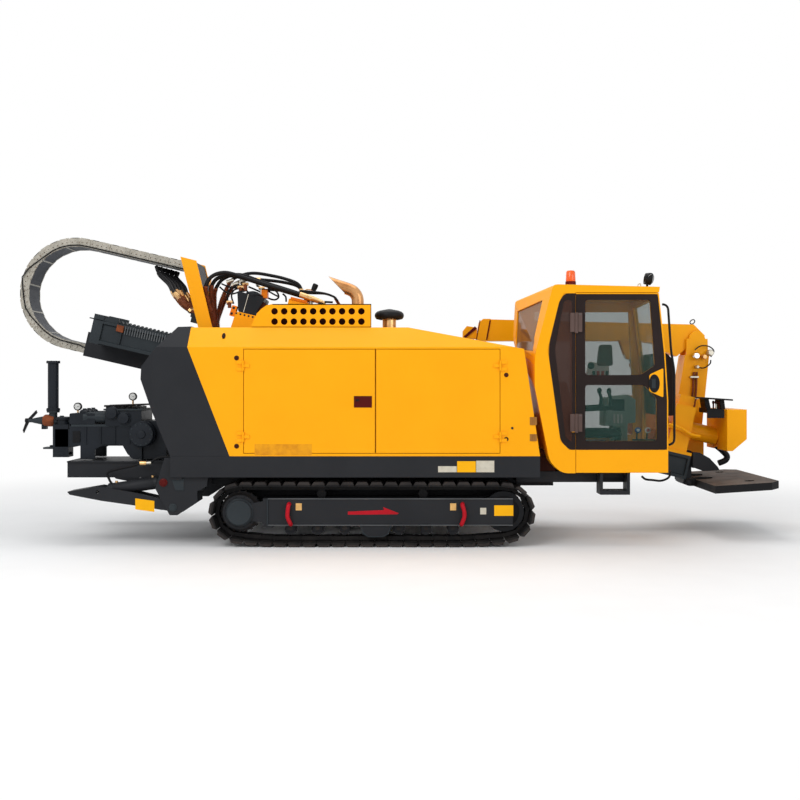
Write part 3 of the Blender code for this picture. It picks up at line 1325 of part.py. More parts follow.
def carriage(frame):
    """The sledge on its pads, the gearbox and the feed drive with its two upright motors."""
    empty = axis_empty("carriage_axis", (0, 0, 0), parent=frame)
    adds = [box((CARRIAGE_REAR, CARRIAGE_FRONT), (0.04, 0.66), (SLEDGE_LOW, SLEDGE_HIGH))]
    for y in ((BEAM_NEAR + 0.004, BEAM_NEAR + 0.076), (BEAM_FAR - 0.076, BEAM_FAR - 0.004)):
        for u in (CARRIAGE_REAR + 0.05, CARRIAGE_FRONT - 0.45):
            adds.append(box((u, u + 0.40), y, (BEAM_W_HIGH + 2 * SEAT_GAP, SLEDGE_LOW + 0.01)))
    for y in ((0.05, BEAM_NEAR - MOVE_GAP), (BEAM_FAR + MOVE_GAP, 0.635)):
        adds.append(box((CARRIAGE_REAR + 0.1, CARRIAGE_FRONT - 0.1), y, (0.24, SLEDGE_LOW + 0.01)))
    seat = SLEDGE_HIGH - 0.01
    adds.append(box((GEARBOX_REAR, GEARBOX_FRONT), (0.10, 0.60), (seat, GEARBOX_TOP)))
    adds.append(box((-3.76, -3.36), (0.12, 0.58), (seat, DRIVE_TOP)))
    adds.append(box((-3.16, -2.92), (0.20, 0.50), (GEARBOX_TOP - 0.01, GEARBOX_TOP + 0.22)))
    adds.append(cylinder((-3.37, DRILL_Y, DRILL_W), (GEARBOX_REAR + 0.02, DRILL_Y, DRILL_W), 0.16, 20))
    for y in (DRILL_Y - 0.13, DRILL_Y + 0.13):
        adds.append(cylinder((MOTOR_U, y, DRIVE_TOP - 0.01), (MOTOR_U, y, DRIVE_TOP + 0.31), 0.118, 16))
        adds.append(box((MOTOR_U - 0.14, MOTOR_U - 0.02), (y - 0.075, y + 0.075), (DRIVE_TOP + 0.11, DRIVE_TOP + 0.31)))
    part("carriage", "yellow", adds, parent=empty)
    profile = [(0, 0.13), (0.05, 0.13), (0.052, 0.085), (0.22, 0.085), (0.222, 0.11), (0.30, 0.11), (0.302, 0.07), (0.44, 0.07)]
    start = (GEARBOX_FRONT + SEAT_GAP, DRILL_Y, DRILL_W)
    part("spindle", "dark_grey", [turned(profile, start, (1, 0, 0))], parent=empty, at=start)
    hose_post(empty)
    head_hoses(empty)
    chain_hoses(empty)


def hose_post(empty):
    """Two leaning plates with bars between them, and the arm that holds the chain's end."""
    foot = SLEDGE_HIGH + SEAT_GAP
    plate = [(-4.07, foot), (-3.89, foot), (-4.313, 1.344), (-4.506, 1.348)]
    adds = [prism(plate, y, y + 0.02) for y in (0.065, 0.615)]
    adds.append(box((-4.44, -4.38), (0.075, 0.625), (1.24, 1.30)))
    adds.append(box((POST_BAR_REAR, POST_BAR_FRONT), (0.075, 0.625), (POST_BAR_TOP - 0.06, POST_BAR_TOP)))
    top = CHAIN_LOW_W + 2 * CHAIN_RADIUS - CHAIN_HEIGHT / 2 - SEAT_GAP
    adds.append(box((-4.48, -4.28), (0.625, CHAIN_FAR), (top - 0.08, top)))
    part("hose_post", "yellow", adds, parent=empty, at=(-4.0, 0.07, foot))


def hose(points, radius, sides=8, steps=3):
    """A hose along a smooth line through its points."""
    points = [Vector(point) for point in points]
    ends = [points[0] * 2 - points[1], *points, points[-1] * 2 - points[-2]]
    line = []
    for a, b, c, d in zip(ends, ends[1:], ends[2:], ends[3:]):
        for step in range(steps):
            t = step / steps
            bend = (2 * a - 5 * b + 4 * c - d) * t**2 + (3 * b - a - 3 * c + d) * t**3
            line.append(0.5 * (2 * b + (c - a) * t + bend))
    return pipe([*line, points[-1]], radius, sides)


def head_hoses(empty):
    """The thick hoses that arch from the sledge over the drive to the gearbox."""
    low = SLEDGE_HIGH + SEAT_GAP
    high = GEARBOX_TOP + SEAT_GAP
    adds = [
        box((-4.03, -3.87), (0.12, 0.54), (low, low + 0.12)),
        box((-2.80, -2.68), (0.13, 0.35), (high, high + 0.28)),
        box((-3.10, -3.00), (0.39, 0.53), (high + 0.221, high + 0.30)),
    ]
    for y, radius, route in HEAD_HOSES:
        adds.append(hose([(u, y, w) for u, w in route], radius))
    part("head_hoses", "rubber", adds, parent=empty, at=(-3.95, DRILL_Y, low))


def chain_hoses(empty):
    """The bundle that comes out of the chain's end and drops to a bar of the post."""
    low = POST_BAR_TOP + SEAT_GAP
    adds = [box((POST_BAR_REAR - 0.02, POST_BAR_FRONT - 0.01), (0.10, 0.60), (low, low + 0.09))]
    top = CHAIN_LOW_W + 2 * CHAIN_RADIUS - CHAIN_HEIGHT / 2 - 0.035
    for index in range(5):
        route = [
            (-4.92 + 0.055 * index, 0.70 + 0.07 * index, top),
            (-4.84 + 0.050 * index, 0.66 + 0.06 * index, top - 0.07),
            (-4.67 + 0.045 * index, 0.48 + 0.05 * index, top - 0.17),
            (-4.54 + 0.035 * index, 0.29 + 0.06 * index, top - 0.27),
            (-4.37 + 0.020 * index, 0.17 + 0.09 * index, top - 0.39),
            (POST_BAR_REAR + 0.03, 0.16 + 0.09 * index, low + 0.05),
        ]
        adds.append(hose(route, 0.023, 8, 2))
    part("chain_hoses", "rubber", adds, parent=empty, at=(POST_BAR_REAR, DRILL_Y, low))


def wrench_cradle(frame):
    """Two cheeks on a base plate that carry the wrench's collars."""
    low = BEAM_W_HIGH + SEAT_GAP
    shoulder = DRILL_W + 0.095
    top = DRILL_W + 0.245
    plate = box((1.02, VISE_REAR - SEAT_GAP), (BEAM_NEAR, BEAM_FAR), (low, low + 0.035))
    cheek = [(0.11, low + 0.02), (0.59, low + 0.02), (0.59, shoulder), (0.50, top), (0.20, top), (0.11, shoulder)]
    cheeks = [prism(cheek, u, u + 0.05, "X") for u in (1.06, 1.48)]
    cut = bore_cut((0.9, DRILL_Y, DRILL_W), (1.6, DRILL_Y, DRILL_W), WRENCH_COLLAR_RADIUS, 24)
    part("wrench_cradle", "yellow", [plate, *cheeks], [cut], parent=frame)


def vise(frame):
    """The fixed clamp and the guide tube ahead of it."""
    low = BEAM_W_HIGH + SEAT_GAP
    adds = [
        box((VISE_REAR, BEAM_END), (BEAM_NEAR, BEAM_FAR), (low, low + 0.035)),
        box((VISE_REAR + 0.02, 1.86), (DRILL_Y - 0.23, DRILL_Y + 0.22), (low + 0.02, DRILL_W + 0.275)),
        box((VISE_REAR + 0.06, 1.84), (DRILL_Y - 0.15, DRILL_Y + 0.15), (DRILL_W + 0.255, DRILL_W + 0.395)),
    ]
    cut = cylinder((1.55, DRILL_Y, DRILL_W), (2.0, DRILL_Y, DRILL_W), DRILL_BORE, 20)
    part("vise", "yellow", adds, [cut], parent=frame)
    start = 1.86 + SEAT_GAP
    tube = cylinder((start, DRILL_Y, DRILL_W), (2.23, DRILL_Y, DRILL_W), GUIDE_RADIUS, 20)
    collar = cylinder((start, DRILL_Y, DRILL_W), (1.90, DRILL_Y, DRILL_W), GUIDE_RADIUS + 0.04, 20)
    bore = cylinder((1.8, DRILL_Y, DRILL_W), (2.4, DRILL_Y, DRILL_W), DRILL_BORE, 20)
    part("guide_tube", "yellow", [tube, collar], [bore], parent=frame, at=(start, DRILL_Y, DRILL_W))


def wrench(frame):
    """The breakout wrench: an eight-sided block on two collars in its cradle."""
    ends = [circle((u, DRILL_Y, DRILL_W), (1, 0, 0), 0.225, 8) for u in (1.117, 1.473)]
    adds = [
        loft(ends),
        cylinder((1.05, DRILL_Y, DRILL_W), (1.54, DRILL_Y, DRILL_W), WRENCH_COLLAR_RADIUS, 24),
    ]
    adds.append(box((1.16, 1.43), (DRILL_Y - 0.06, DRILL_Y + 0.06), (DRILL_W + 0.18, DRILL_W + 0.33)))
    cut = cylinder((0.9, DRILL_Y, DRILL_W), (1.7, DRILL_Y, DRILL_W), DRILL_BORE, 20)
    part("wrench", "dark_grey", adds, [cut], parent=frame, at=(1.3, DRILL_Y, DRILL_W))


def wiper_box(frame):
    """The box at the very front, world-aligned at rest, with the valve block on top."""
    world = axis_empty("wiper_frame", (0, 0, 0))
    world.parent = frame
    slope = math.radians(MAST_SLOPE)
    world.matrix_local = frame.matrix_basis.inverted()
    axis_at = out_of_mast((2.1, DRILL_W))
    axis_end = out_of_mast((2.7, DRILL_W))
    rear, front = 4.045, 4.276
    middle = axis_at[1] - (rear - axis_at[0]) * math.tan(slope)
    low, high = middle - 0.150, middle + 0.336
    outline = [(rear, low), (rear + 0.065, low), (front, low + 0.14), (front, high), (rear, high)]
    start = (axis_at[0], DRILL_Y, axis_at[1])
    end = (axis_end[0], DRILL_Y, axis_end[1])
    hole = cylinder(start, end, DRILL_BORE, 20)
    sleeve = cylinder(start, end, GUIDE_RADIUS + SEAT_GAP * 2, 20)
    shell = prism(outline, DRILL_Y - 0.45, DRILL_Y + 0.35)
    cuts = [hole, sleeve_section(sleeve, rear + 0.055)]
    part("wiper_box", "yellow", [shell], cuts, parent=world, at=(rear, DRILL_Y, middle))
    seat = high + SEAT_GAP
    valves = [
        box((4.07, 4.25), (0.0, 0.36), (seat, seat + 0.09)),
        prism([(4.10, seat + 0.08), (4.25, seat + 0.08), (4.29, seat + 0.285), (4.07, seat + 0.285)], 0.10, 0.26),
        prism([(4.02, seat + 0.292), (4.42, seat + 0.262), (4.42, seat + 0.276), (4.02, seat + 0.306)], 0.02, 0.34),
    ]
    part("valve_block", "black", valves, parent=world, at=(4.16, 0.18, seat))
    return world


def sleeve_section(sleeve, front):
    """The guide tube's seat in the rear wall of the wiper box."""
    return combined([sleeve], keep=[box((3.5, front), (-0.2, 0.9), (0.5, 1.6))])


def anchor_plate(frame, world):
    """The ground plate ahead of the mast, hinged at the beam's front end."""
    hinge = out_of_mast((ANCHOR_HINGE_U, ANCHOR_HINGE_W))
    rise = math.tan(math.radians(ANCHOR_RISE))

    def top(x):
        return ANCHOR_TOP + (x - ANCHOR_REAR) * rise

    corner = 0.12
    outline = [
        (ANCHOR_REAR, ANCHOR_NEAR),
        (ANCHOR_FRONT - corner, ANCHOR_NEAR),
        (ANCHOR_FRONT, ANCHOR_NEAR + corner),
        (ANCHOR_FRONT, ANCHOR_FAR - corner),
        (ANCHOR_FRONT - corner, ANCHOR_FAR),
        (ANCHOR_REAR, ANCHOR_FAR),
    ]
    upper = [(x, y, top(x)) for x, y in outline]
    lower = [(x, y, top(x) - ANCHOR_THICKNESS) for x, y in outline]
    lug_end = ANCHOR_REAR + 0.20
    lug = [
        *arc(hinge, ANCHOR_EYE_RADIUS, 80, 280, 6),
        (ANCHOR_REAR + 0.04, top(ANCHOR_REAR) - ANCHOR_THICKNESS + 0.01),
        (lug_end, top(lug_end) - 0.02),
        (lug_end, top(lug_end) + 0.015),
        (ANCHOR_REAR + 0.04, hinge[1] + ANCHOR_EYE_RADIUS + 0.02),
    ]
    lugs = [prism(lug, y, y + 0.05) for y in (0.12, 0.53)]
    holes = [cylinder((4.22, y, 0.3), (4.22, y, 1.0), 0.055, 16) for y in (-0.35, 0.75)]
    pin_cut = bore_cut((hinge[0], 0.0, hinge[1]), (hinge[0], 0.8, hinge[1]), PIN_RADIUS, phase=0.5)
    at = (hinge[0], DRILL_Y, hinge[1])
    part("anchor_plate", "dark_grey", [loft([lower, upper]), *lugs], [*holes, pin_cut], parent=world, at=at)
    u, w = ANCHOR_HINGE_U, ANCHOR_HINGE_W
    rear = BEAM_END + SEAT_GAP
    block = [
        (rear, w - 0.03),
        (rear, 0.37),
        (rear + 0.03, 0.37),
        *arc((u, w), ANCHOR_EYE_RADIUS, 40, -120, 6),
    ]
    pin = cross_pin((u, w), 0.13, 0.57)
    part("anchor_hinge", "dark_grey", [prism(block, 0.178, 0.522), pin], parent=frame, at=(u, DRILL_Y, w))


# Crane


def crane(world):
    base = [
        box((3.42, 3.98), (BEAM_FAR + SEAT_GAP, 1.04), (CRANE_BASE_LOW, CRANE_BASE_TOP - 0.02)),
        box((3.30, 3.60), (BEAM_FAR + SEAT_GAP, 0.72), (0.70, CRANE_BASE_LOW + 0.02)),
        cylinder((CRANE_X, CRANE_Y, CRANE_BASE_LOW + 0.02), (CRANE_X, CRANE_Y, CRANE_BASE_TOP), 0.17, 20),
        cylinder((CRANE_X, CRANE_Y, CRANE_BASE_TOP - 0.01), (CRANE_X, CRANE_Y, CRANE_BASE_TOP + 0.10), SLEW_PIN_RADIUS, 20),
    ]
    part("crane_base", "yellow", base, parent=world, at=(CRANE_X, CRANE_Y, CRANE_BASE_TOP))
    slew = axis_empty("crane_slew_axis", (CRANE_X, CRANE_Y, CRANE_BASE_TOP), parent=world)
    shift = Matrix.Translation(-Vector(slew.location))
    px, pz = CRANE_BOOM_PIVOT
    foot = CRANE_BASE_TOP + SEAT_GAP
    half = CRANE_COLUMN_WIDTH / 2
    column = loft(
        [
            [(CRANE_X - 0.18, CRANE_Y - half, foot + 0.04), (CRANE_X + 0.18, CRANE_Y - half, foot + 0.04), (CRANE_X + 0.18, CRANE_Y + half, foot + 0.04), (CRANE_X - 0.18, CRANE_Y + half, foot + 0.04)],
            [(px - 0.15, CRANE_Y - half, 2.10), (px + 0.15, CRANE_Y - half, 2.10), (px + 0.15, CRANE_Y + half, 2.10), (px - 0.15, CRANE_Y + half, 2.10)],
        ]
    )
    ear = [(px - 0.14, 2.0), (px + 0.14, 2.0), (px + 0.13, 2.30), *arc((px, pz), 0.10, 0, 180, 6), (px - 0.13, 2.30)]
    ears = [prism(ear, y, y + 0.03) for y in (CRANE_Y - half, CRANE_Y + half - 0.03)]
    collar = cylinder((CRANE_X, CRANE_Y, foot), (CRANE_X, CRANE_Y, foot + 0.06), 0.165, 20)
    luff_lug = [(CRANE_X - 0.10, 1.28), (CRANE_X - 0.08, 1.52), *arc(LUFF_BASE, 0.05, 90, 270, 6)]
    luff_ears = [prism(luff_lug, y, y + 0.02) for y in (CRANE_Y - 0.065, CRANE_Y + 0.045)]
    pins = [cross_pin(LUFF_BASE, CRANE_Y - 0.06, CRANE_Y + 0.06), cross_pin((px, pz), CRANE_Y - half + 0.01, CRANE_Y + half - 0.01, BOOM_PIN_RADIUS)]
    socket = bore_cut((CRANE_X, CRANE_Y, foot - 0.1), (CRANE_X, CRANE_Y, CRANE_BASE_TOP + 0.105), SLEW_PIN_RADIUS, 20)
    meshes = [column, *ears, collar, *luff_ears, *pins]
    for mesh in (*meshes, socket):
        mesh.transform(shift)
    part("crane_column", "yellow", meshes, [socket], parent=slew)
    boom = [
        (px + 0.10, pz - 0.05),
        (px + 0.10, pz + 0.12),
        (px - 0.10, pz + 0.24),
        (BOOM_TIP_X + 0.02, 2.46),
        (BOOM_TIP_X, 2.20),
        (3.30, 2.16),
        (px - 0.10, pz - 0.08),
    ]
    width = BOOM_WIDTH / 2
    luff = axis_empty("crane_luff_axis", (px - CRANE_X, 0, pz - CRANE_BASE_TOP), parent=slew)
    lug = [(LUFF_EYE[0] - 0.12, 2.19), *arc(LUFF_EYE, 0.045, 190, 350, 6), (LUFF_EYE[0] + 0.12, 2.19)]
    boom_adds = [
        prism(boom, CRANE_Y - width, CRANE_Y + width),
        *[prism(lug, y, y + 0.02) for y in (CRANE_Y - 0.065, CRANE_Y + 0.045)],
        prism([(1.30, 2.44), (1.30, 2.56), (1.42, 2.56), (1.42, 2.44)], CRANE_Y - 0.02, CRANE_Y + 0.02),
        box((1.08, 1.16), (CRANE_Y - 0.03, CRANE_Y + 0.03), (2.08, 2.22)),
    ]
    boom_cuts = [pin_bore((px, pz), 0, 2, BOOM_PIN_RADIUS), cross_pin((1.36, 2.50), 0, 2, 0.03), cross_pin(LUFF_EYE, 0, 2, 0.02)]
    shift = Matrix.Translation(-Vector((px, CRANE_Y, pz)))
    for mesh in (*boom_adds, *boom_cuts):
        mesh.transform(shift)
    part("crane_boom", "yellow", boom_adds, boom_cuts, parent=luff)


# Rear


def mud_pump():
    """The dark pump on the rear shelf: crankcase, fluid end, standpipe and wing valve."""
    base = SHELF_TOP + SEAT_GAP
    adds = [
        box((-3.20, -2.62), (-0.80, -0.22), (base, base + 0.06)),
        box((-3.02, -2.62), (-0.76, -0.26), (base + 0.05, 1.46)),
        box((-3.42, -2.95), (-0.70, -0.32), (base + 0.10, 1.27)),
        cylinder((-2.83, -0.83, 1.16), (-2.83, -0.40, 1.16), 0.145, 20),
        cylinder((-2.95, -0.52, 1.40), (-2.95, -0.52, 1.52), 0.06, 12),
        box((-3.62, -3.38), (-0.62, -0.44), (1.02, 1.22)),
        cylinder((-3.55, -0.53, 0.95), (-3.55, -0.53, 1.37), 0.09, 14),
        cylinder((-3.68, -0.53, 1.25), (-3.68, -0.53, 2.00), 0.065, 14),
        box((-3.74, -3.50), (-0.60, -0.46), (1.20, 1.30)),
        cylinder((-4.02, -0.53, 1.27), (-3.60, -0.53, 1.27), 0.055, 12),
        cylinder((-3.68, -0.53, 1.98), (-3.68, -0.53, 2.03), 0.085, 14),
    ]
    part("mud_pump", "dark_grey", adds, at=(-2.9, -0.5, base))


def side_tank():
    base = DECK_TOP + SEAT_GAP
    outline = [(0.66, base), (1.08, base), (1.08, 1.24), (1.04, 1.30), (0.70, 1.30), (0.66, 1.26)]
    part("side_tank", "yellow", [prism(outline, -1.70, 0.20, "X")], at=(-0.75, 0.87, base))


def build():
    clear_scene()
    global FINISHES
    FINISHES = {name: finish_of(name) for name in COLORS}
    for side, tag in ((-1, "near"), (1, "far")):
        track(side, "track_" + tag)
        track_frame(side, "track_frame_" + tag)
        stabilizer(side, tag)
    chassis()
    underframe()
    hood()
    rear_cowl()
    engine_block()
    guard()
    exhaust()
    precleaner()
    cab()
    cab_door()
    cab_interior()
    beacon()
    work_lamp()
    grab_rail()
    cab_step()
    mud_pump()
    side_tank()
    frame = axis_empty("mast_frame", (MAST_PIVOT[0], 0, MAST_PIVOT[1]), turn=MAST_SLOPE)
    mast_beam(frame)
    mast_lugs(frame)
    chain_tray(frame)
    drag_chain(frame)
    carriage(frame)
    wrench_cradle(frame)
    vise(frame)
    wrench(frame)
    bpy.context.view_layer.update()
    world = wiper_box(frame)
    anchor_plate(frame, world)
    crane(world)
    cylinder_pair(
        ("mast_barrel", "mast_rod"), MAST_CYL_BASE, MAST_CYL_EYE, DRILL_Y, MAST_BARREL_RADIUS, MAST_ROD_RADIUS, 0.80
    )
    cylinder_pair(
        ("luff_barrel", "luff_rod"), LUFF_BASE, LUFF_EYE, CRANE_Y, LUFF_BARREL_RADIUS, LUFF_ROD_RADIUS, 0.82
    )
    bpy.context.view_layer.update()


build()
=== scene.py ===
"""The looks of a crawler-mounted directional drill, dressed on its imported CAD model.

Metres, +Z up, +X towards the drill's exit end, -Y towards the side with the cab.
"""

import math

import bmesh
import bpy
from mathutils import Matrix, Vector


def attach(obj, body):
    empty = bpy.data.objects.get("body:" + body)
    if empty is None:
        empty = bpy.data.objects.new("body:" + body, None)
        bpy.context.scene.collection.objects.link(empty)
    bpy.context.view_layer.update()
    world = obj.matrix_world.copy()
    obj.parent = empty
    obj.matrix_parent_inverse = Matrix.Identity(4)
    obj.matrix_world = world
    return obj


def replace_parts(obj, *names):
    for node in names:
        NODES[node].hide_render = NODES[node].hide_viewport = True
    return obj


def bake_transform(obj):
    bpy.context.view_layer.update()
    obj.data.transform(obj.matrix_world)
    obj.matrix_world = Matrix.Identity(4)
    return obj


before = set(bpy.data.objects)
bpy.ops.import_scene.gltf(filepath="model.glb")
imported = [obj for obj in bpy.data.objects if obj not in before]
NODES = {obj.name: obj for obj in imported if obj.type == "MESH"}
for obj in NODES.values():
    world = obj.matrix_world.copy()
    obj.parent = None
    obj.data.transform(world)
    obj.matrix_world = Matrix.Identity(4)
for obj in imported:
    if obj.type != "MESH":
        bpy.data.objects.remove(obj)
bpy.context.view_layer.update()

# Values shared with the CAD
MAST_PIVOT = (1.72, 0.92)
MAST_SLOPE = math.radians(13.0)
DRILL_Y = 0.35
DRILL_W = 0.705
CHAIN_PITCH = 0.125
CHAIN_HEIGHT = 0.115
CHAIN_NEAR = 0.64
CHAIN_FAR = 1.05
CHAIN_LOW_W = 0.01
CHAIN_BEND_U = -5.80
CHAIN_RADIUS = 0.64
CHAIN_FIXED_END = -3.0
CHAIN_MOVING_END = -4.40
WHEELS = [(-1.495, 0.364), (1.354, 0.364), (0.95, 0.332), (-1.10, 0.332)]
SHOE_RADIUS = 0.28
SHOE_COUNT = 48
BELT_STEPS = 48
TRACK_MIDDLE = 0.895
TRACK_WIDTH = 0.45
FRAME_FACE = 1.05
HOOD_NEAR = -1.10
SLEDGE_HIGH = 0.495
GEARBOX_TOP = 0.95
MOTOR_U = -3.575
SKIRT_FACE = -1.10
CAB_NEAR = -1.10
CAB_FLOOR = 0.8403
DOOR_AXIS = (2.113, -1.118)
STABILIZER_FACE = 1.014
LABEL_THICKNESS = 0.0015
HOOD_TOP = 2.3603

# The photograph's view
CAMERA_AT = (0.23, -12.1, 1.787)
LENS = 46.3
PICTURE = 800
PIXEL = 0.0107
HORIZON = 380
NEAR_PLANE = -1.12


def seen(px, py, y):
    """The place that shows at a pixel of the photograph, at a depth y."""
    size = PIXEL * (y - CAMERA_AT[1]) / (NEAR_PLANE - CAMERA_AT[1])
    return Vector(((px - PICTURE / 2) * size + CAMERA_AT[0], y, CAMERA_AT[2] + (HORIZON - py) * size))


def mast(u, y, w):
    """A place given along the mast and square to it, in the row's frame."""
    cos, sin = math.cos(MAST_SLOPE), math.sin(MAST_SLOPE)
    return Vector((MAST_PIVOT[0] + u * cos + w * sin, y, MAST_PIVOT[1] - u * sin + w * cos))


def flat(points, y):
    """The (x, z) places that show at pixels of the photograph, at a depth y."""
    return [(place.x, place.z) for place in (seen(px, py, y) for px, py in points)]


# Materials


def feed(tree, made, inputs):
    """Sets a node's inputs, each to a value or to the output that feeds it."""
    for key, value in inputs.items():
        if isinstance(value, bpy.types.NodeSocket):
            tree.links.new(value, made.inputs[key])
        else:
            made.inputs[key].default_value = value
    return made


def node(tree, kind, inputs):
    return feed(tree, tree.nodes.new("ShaderNode" + kind), inputs)


def coordinate(tree, kind="Object"):
    return tree.nodes.new("ShaderNodeTexCoord").outputs[kind]


def upright(tree, kind="Object"):
    """The upright part of a coordinate."""
    return node(tree, "SeparateXYZ", {"Vector": coordinate(tree, kind)}).outputs["Z"]


def noise_at(tree, scale, detail):
    """A noise texture on the object's own coordinates."""
    made = node(tree, "TexNoise", {"Scale": scale, "Detail": detail, "Vector": coordinate(tree)})
    return made.outputs["Fac"]


def ramp(tree, source, low, high):
    """0 below one value and 1 above another."""
    made = node(tree, "ValToRGB", {"Fac": source})
    made.color_ramp.elements[0].position = low
    made.color_ramp.elements[1].position = high
    return made.outputs["Color"]


def spread(tree, source, limits):
    """A value moved from one range to another."""
    return node(tree, "MapRange", {"Value": source, **limits}).outputs["Result"]


def mix(tree, share, first, second):
    """One colour over another, each a colour or an output."""
    made = tree.nodes.new("ShaderNodeMix")
    made.data_type = "RGBA"
    first, second = ((*value, 1.0) if isinstance(value, tuple) else value for value in (first, second))
    return feed(tree, made, {"Factor": share, "A": first, "B": second}).outputs["Result"]


def surface(name, color, other, roughness=0.4, metallic=0.0, coat=0.0, grain=90.0, bump=0.1, broad=2.5):
    """A procedural finish: two close colours in broad patches, uneven gloss and a fine grain."""
    made = bpy.data.materials.new(name)
    made.use_nodes = True
    tree = made.node_tree
    patches = ramp(tree, noise_at(tree, broad, 6.0), 0.35, 0.68)
    gloss = {"To Min": max(roughness - 0.07, 0.02), "To Max": roughness + 0.09}
    relief = {"Strength": bump, "Distance": 0.002, "Height": noise_at(tree, grain, 3.0)}
    feed(tree, tree.nodes["Principled BSDF"], {
        "Metallic": metallic,
        "Coat Weight": coat,
        "Coat Roughness": 0.12,
        "Specular IOR Level": 0.12,
        "Base Color": mix(tree, patches, color, other),
        "Roughness": spread(tree, noise_at(tree, broad * 5, 5.0), gloss),
        "Normal": node(tree, "Bump", relief).outputs["Normal"],
    })
    return made


def clear(name, color, alpha, roughness=0.03):
    """Tinted glass, thin and seen through, with faint streaks in its gloss."""
    made = surface(name, color, tuple(c * 0.85 for c in color), roughness, grain=20.0, bump=0.005)
    tree = made.node_tree
    feed(tree, tree.nodes["Principled BSDF"], {"Alpha": alpha, "Specular IOR Level": 0.2})
    return made


def repaint(made, layer):
    """Gives a finish a new base colour, made by a function of its node tree and its old colour."""
    tree = made.node_tree
    shader = tree.nodes["Principled BSDF"]
    below = shader.inputs["Base Color"].links[0].from_socket
    feed(tree, shader, {"Base Color": layer(tree, below)})


def dusty(made, dust, top, depth, cover):
    """Dust that thins out upwards, broken by noise."""
    def layer(tree, below):
        height = spread(tree, upright(tree), {"From Min": top, "From Max": top - depth, "To Max": cover})
        broken = node(tree, "Math", {0: height, 1: ramp(tree, noise_at(tree, 9.0, 8.0), 0.38, 0.62)})
        broken.operation = "MULTIPLY"
        return mix(tree, broken.outputs["Value"], below, dust)

    repaint(made, layer)


def speckled(made, spot, scale, low, high):
    """Small spots of another colour."""
    def layer(tree, below):
        return mix(tree, ramp(tree, noise_at(tree, scale, 2.0), low, high), below, spot)

    repaint(made, layer)


def black_sided(made):
    """Turns the faces that don't look up black."""
    def layer(tree, below):
        return mix(tree, ramp(tree, upright(tree, "Normal"), 0.70, 0.78), (0.010, 0.010, 0.011), below)

    repaint(made, layer)


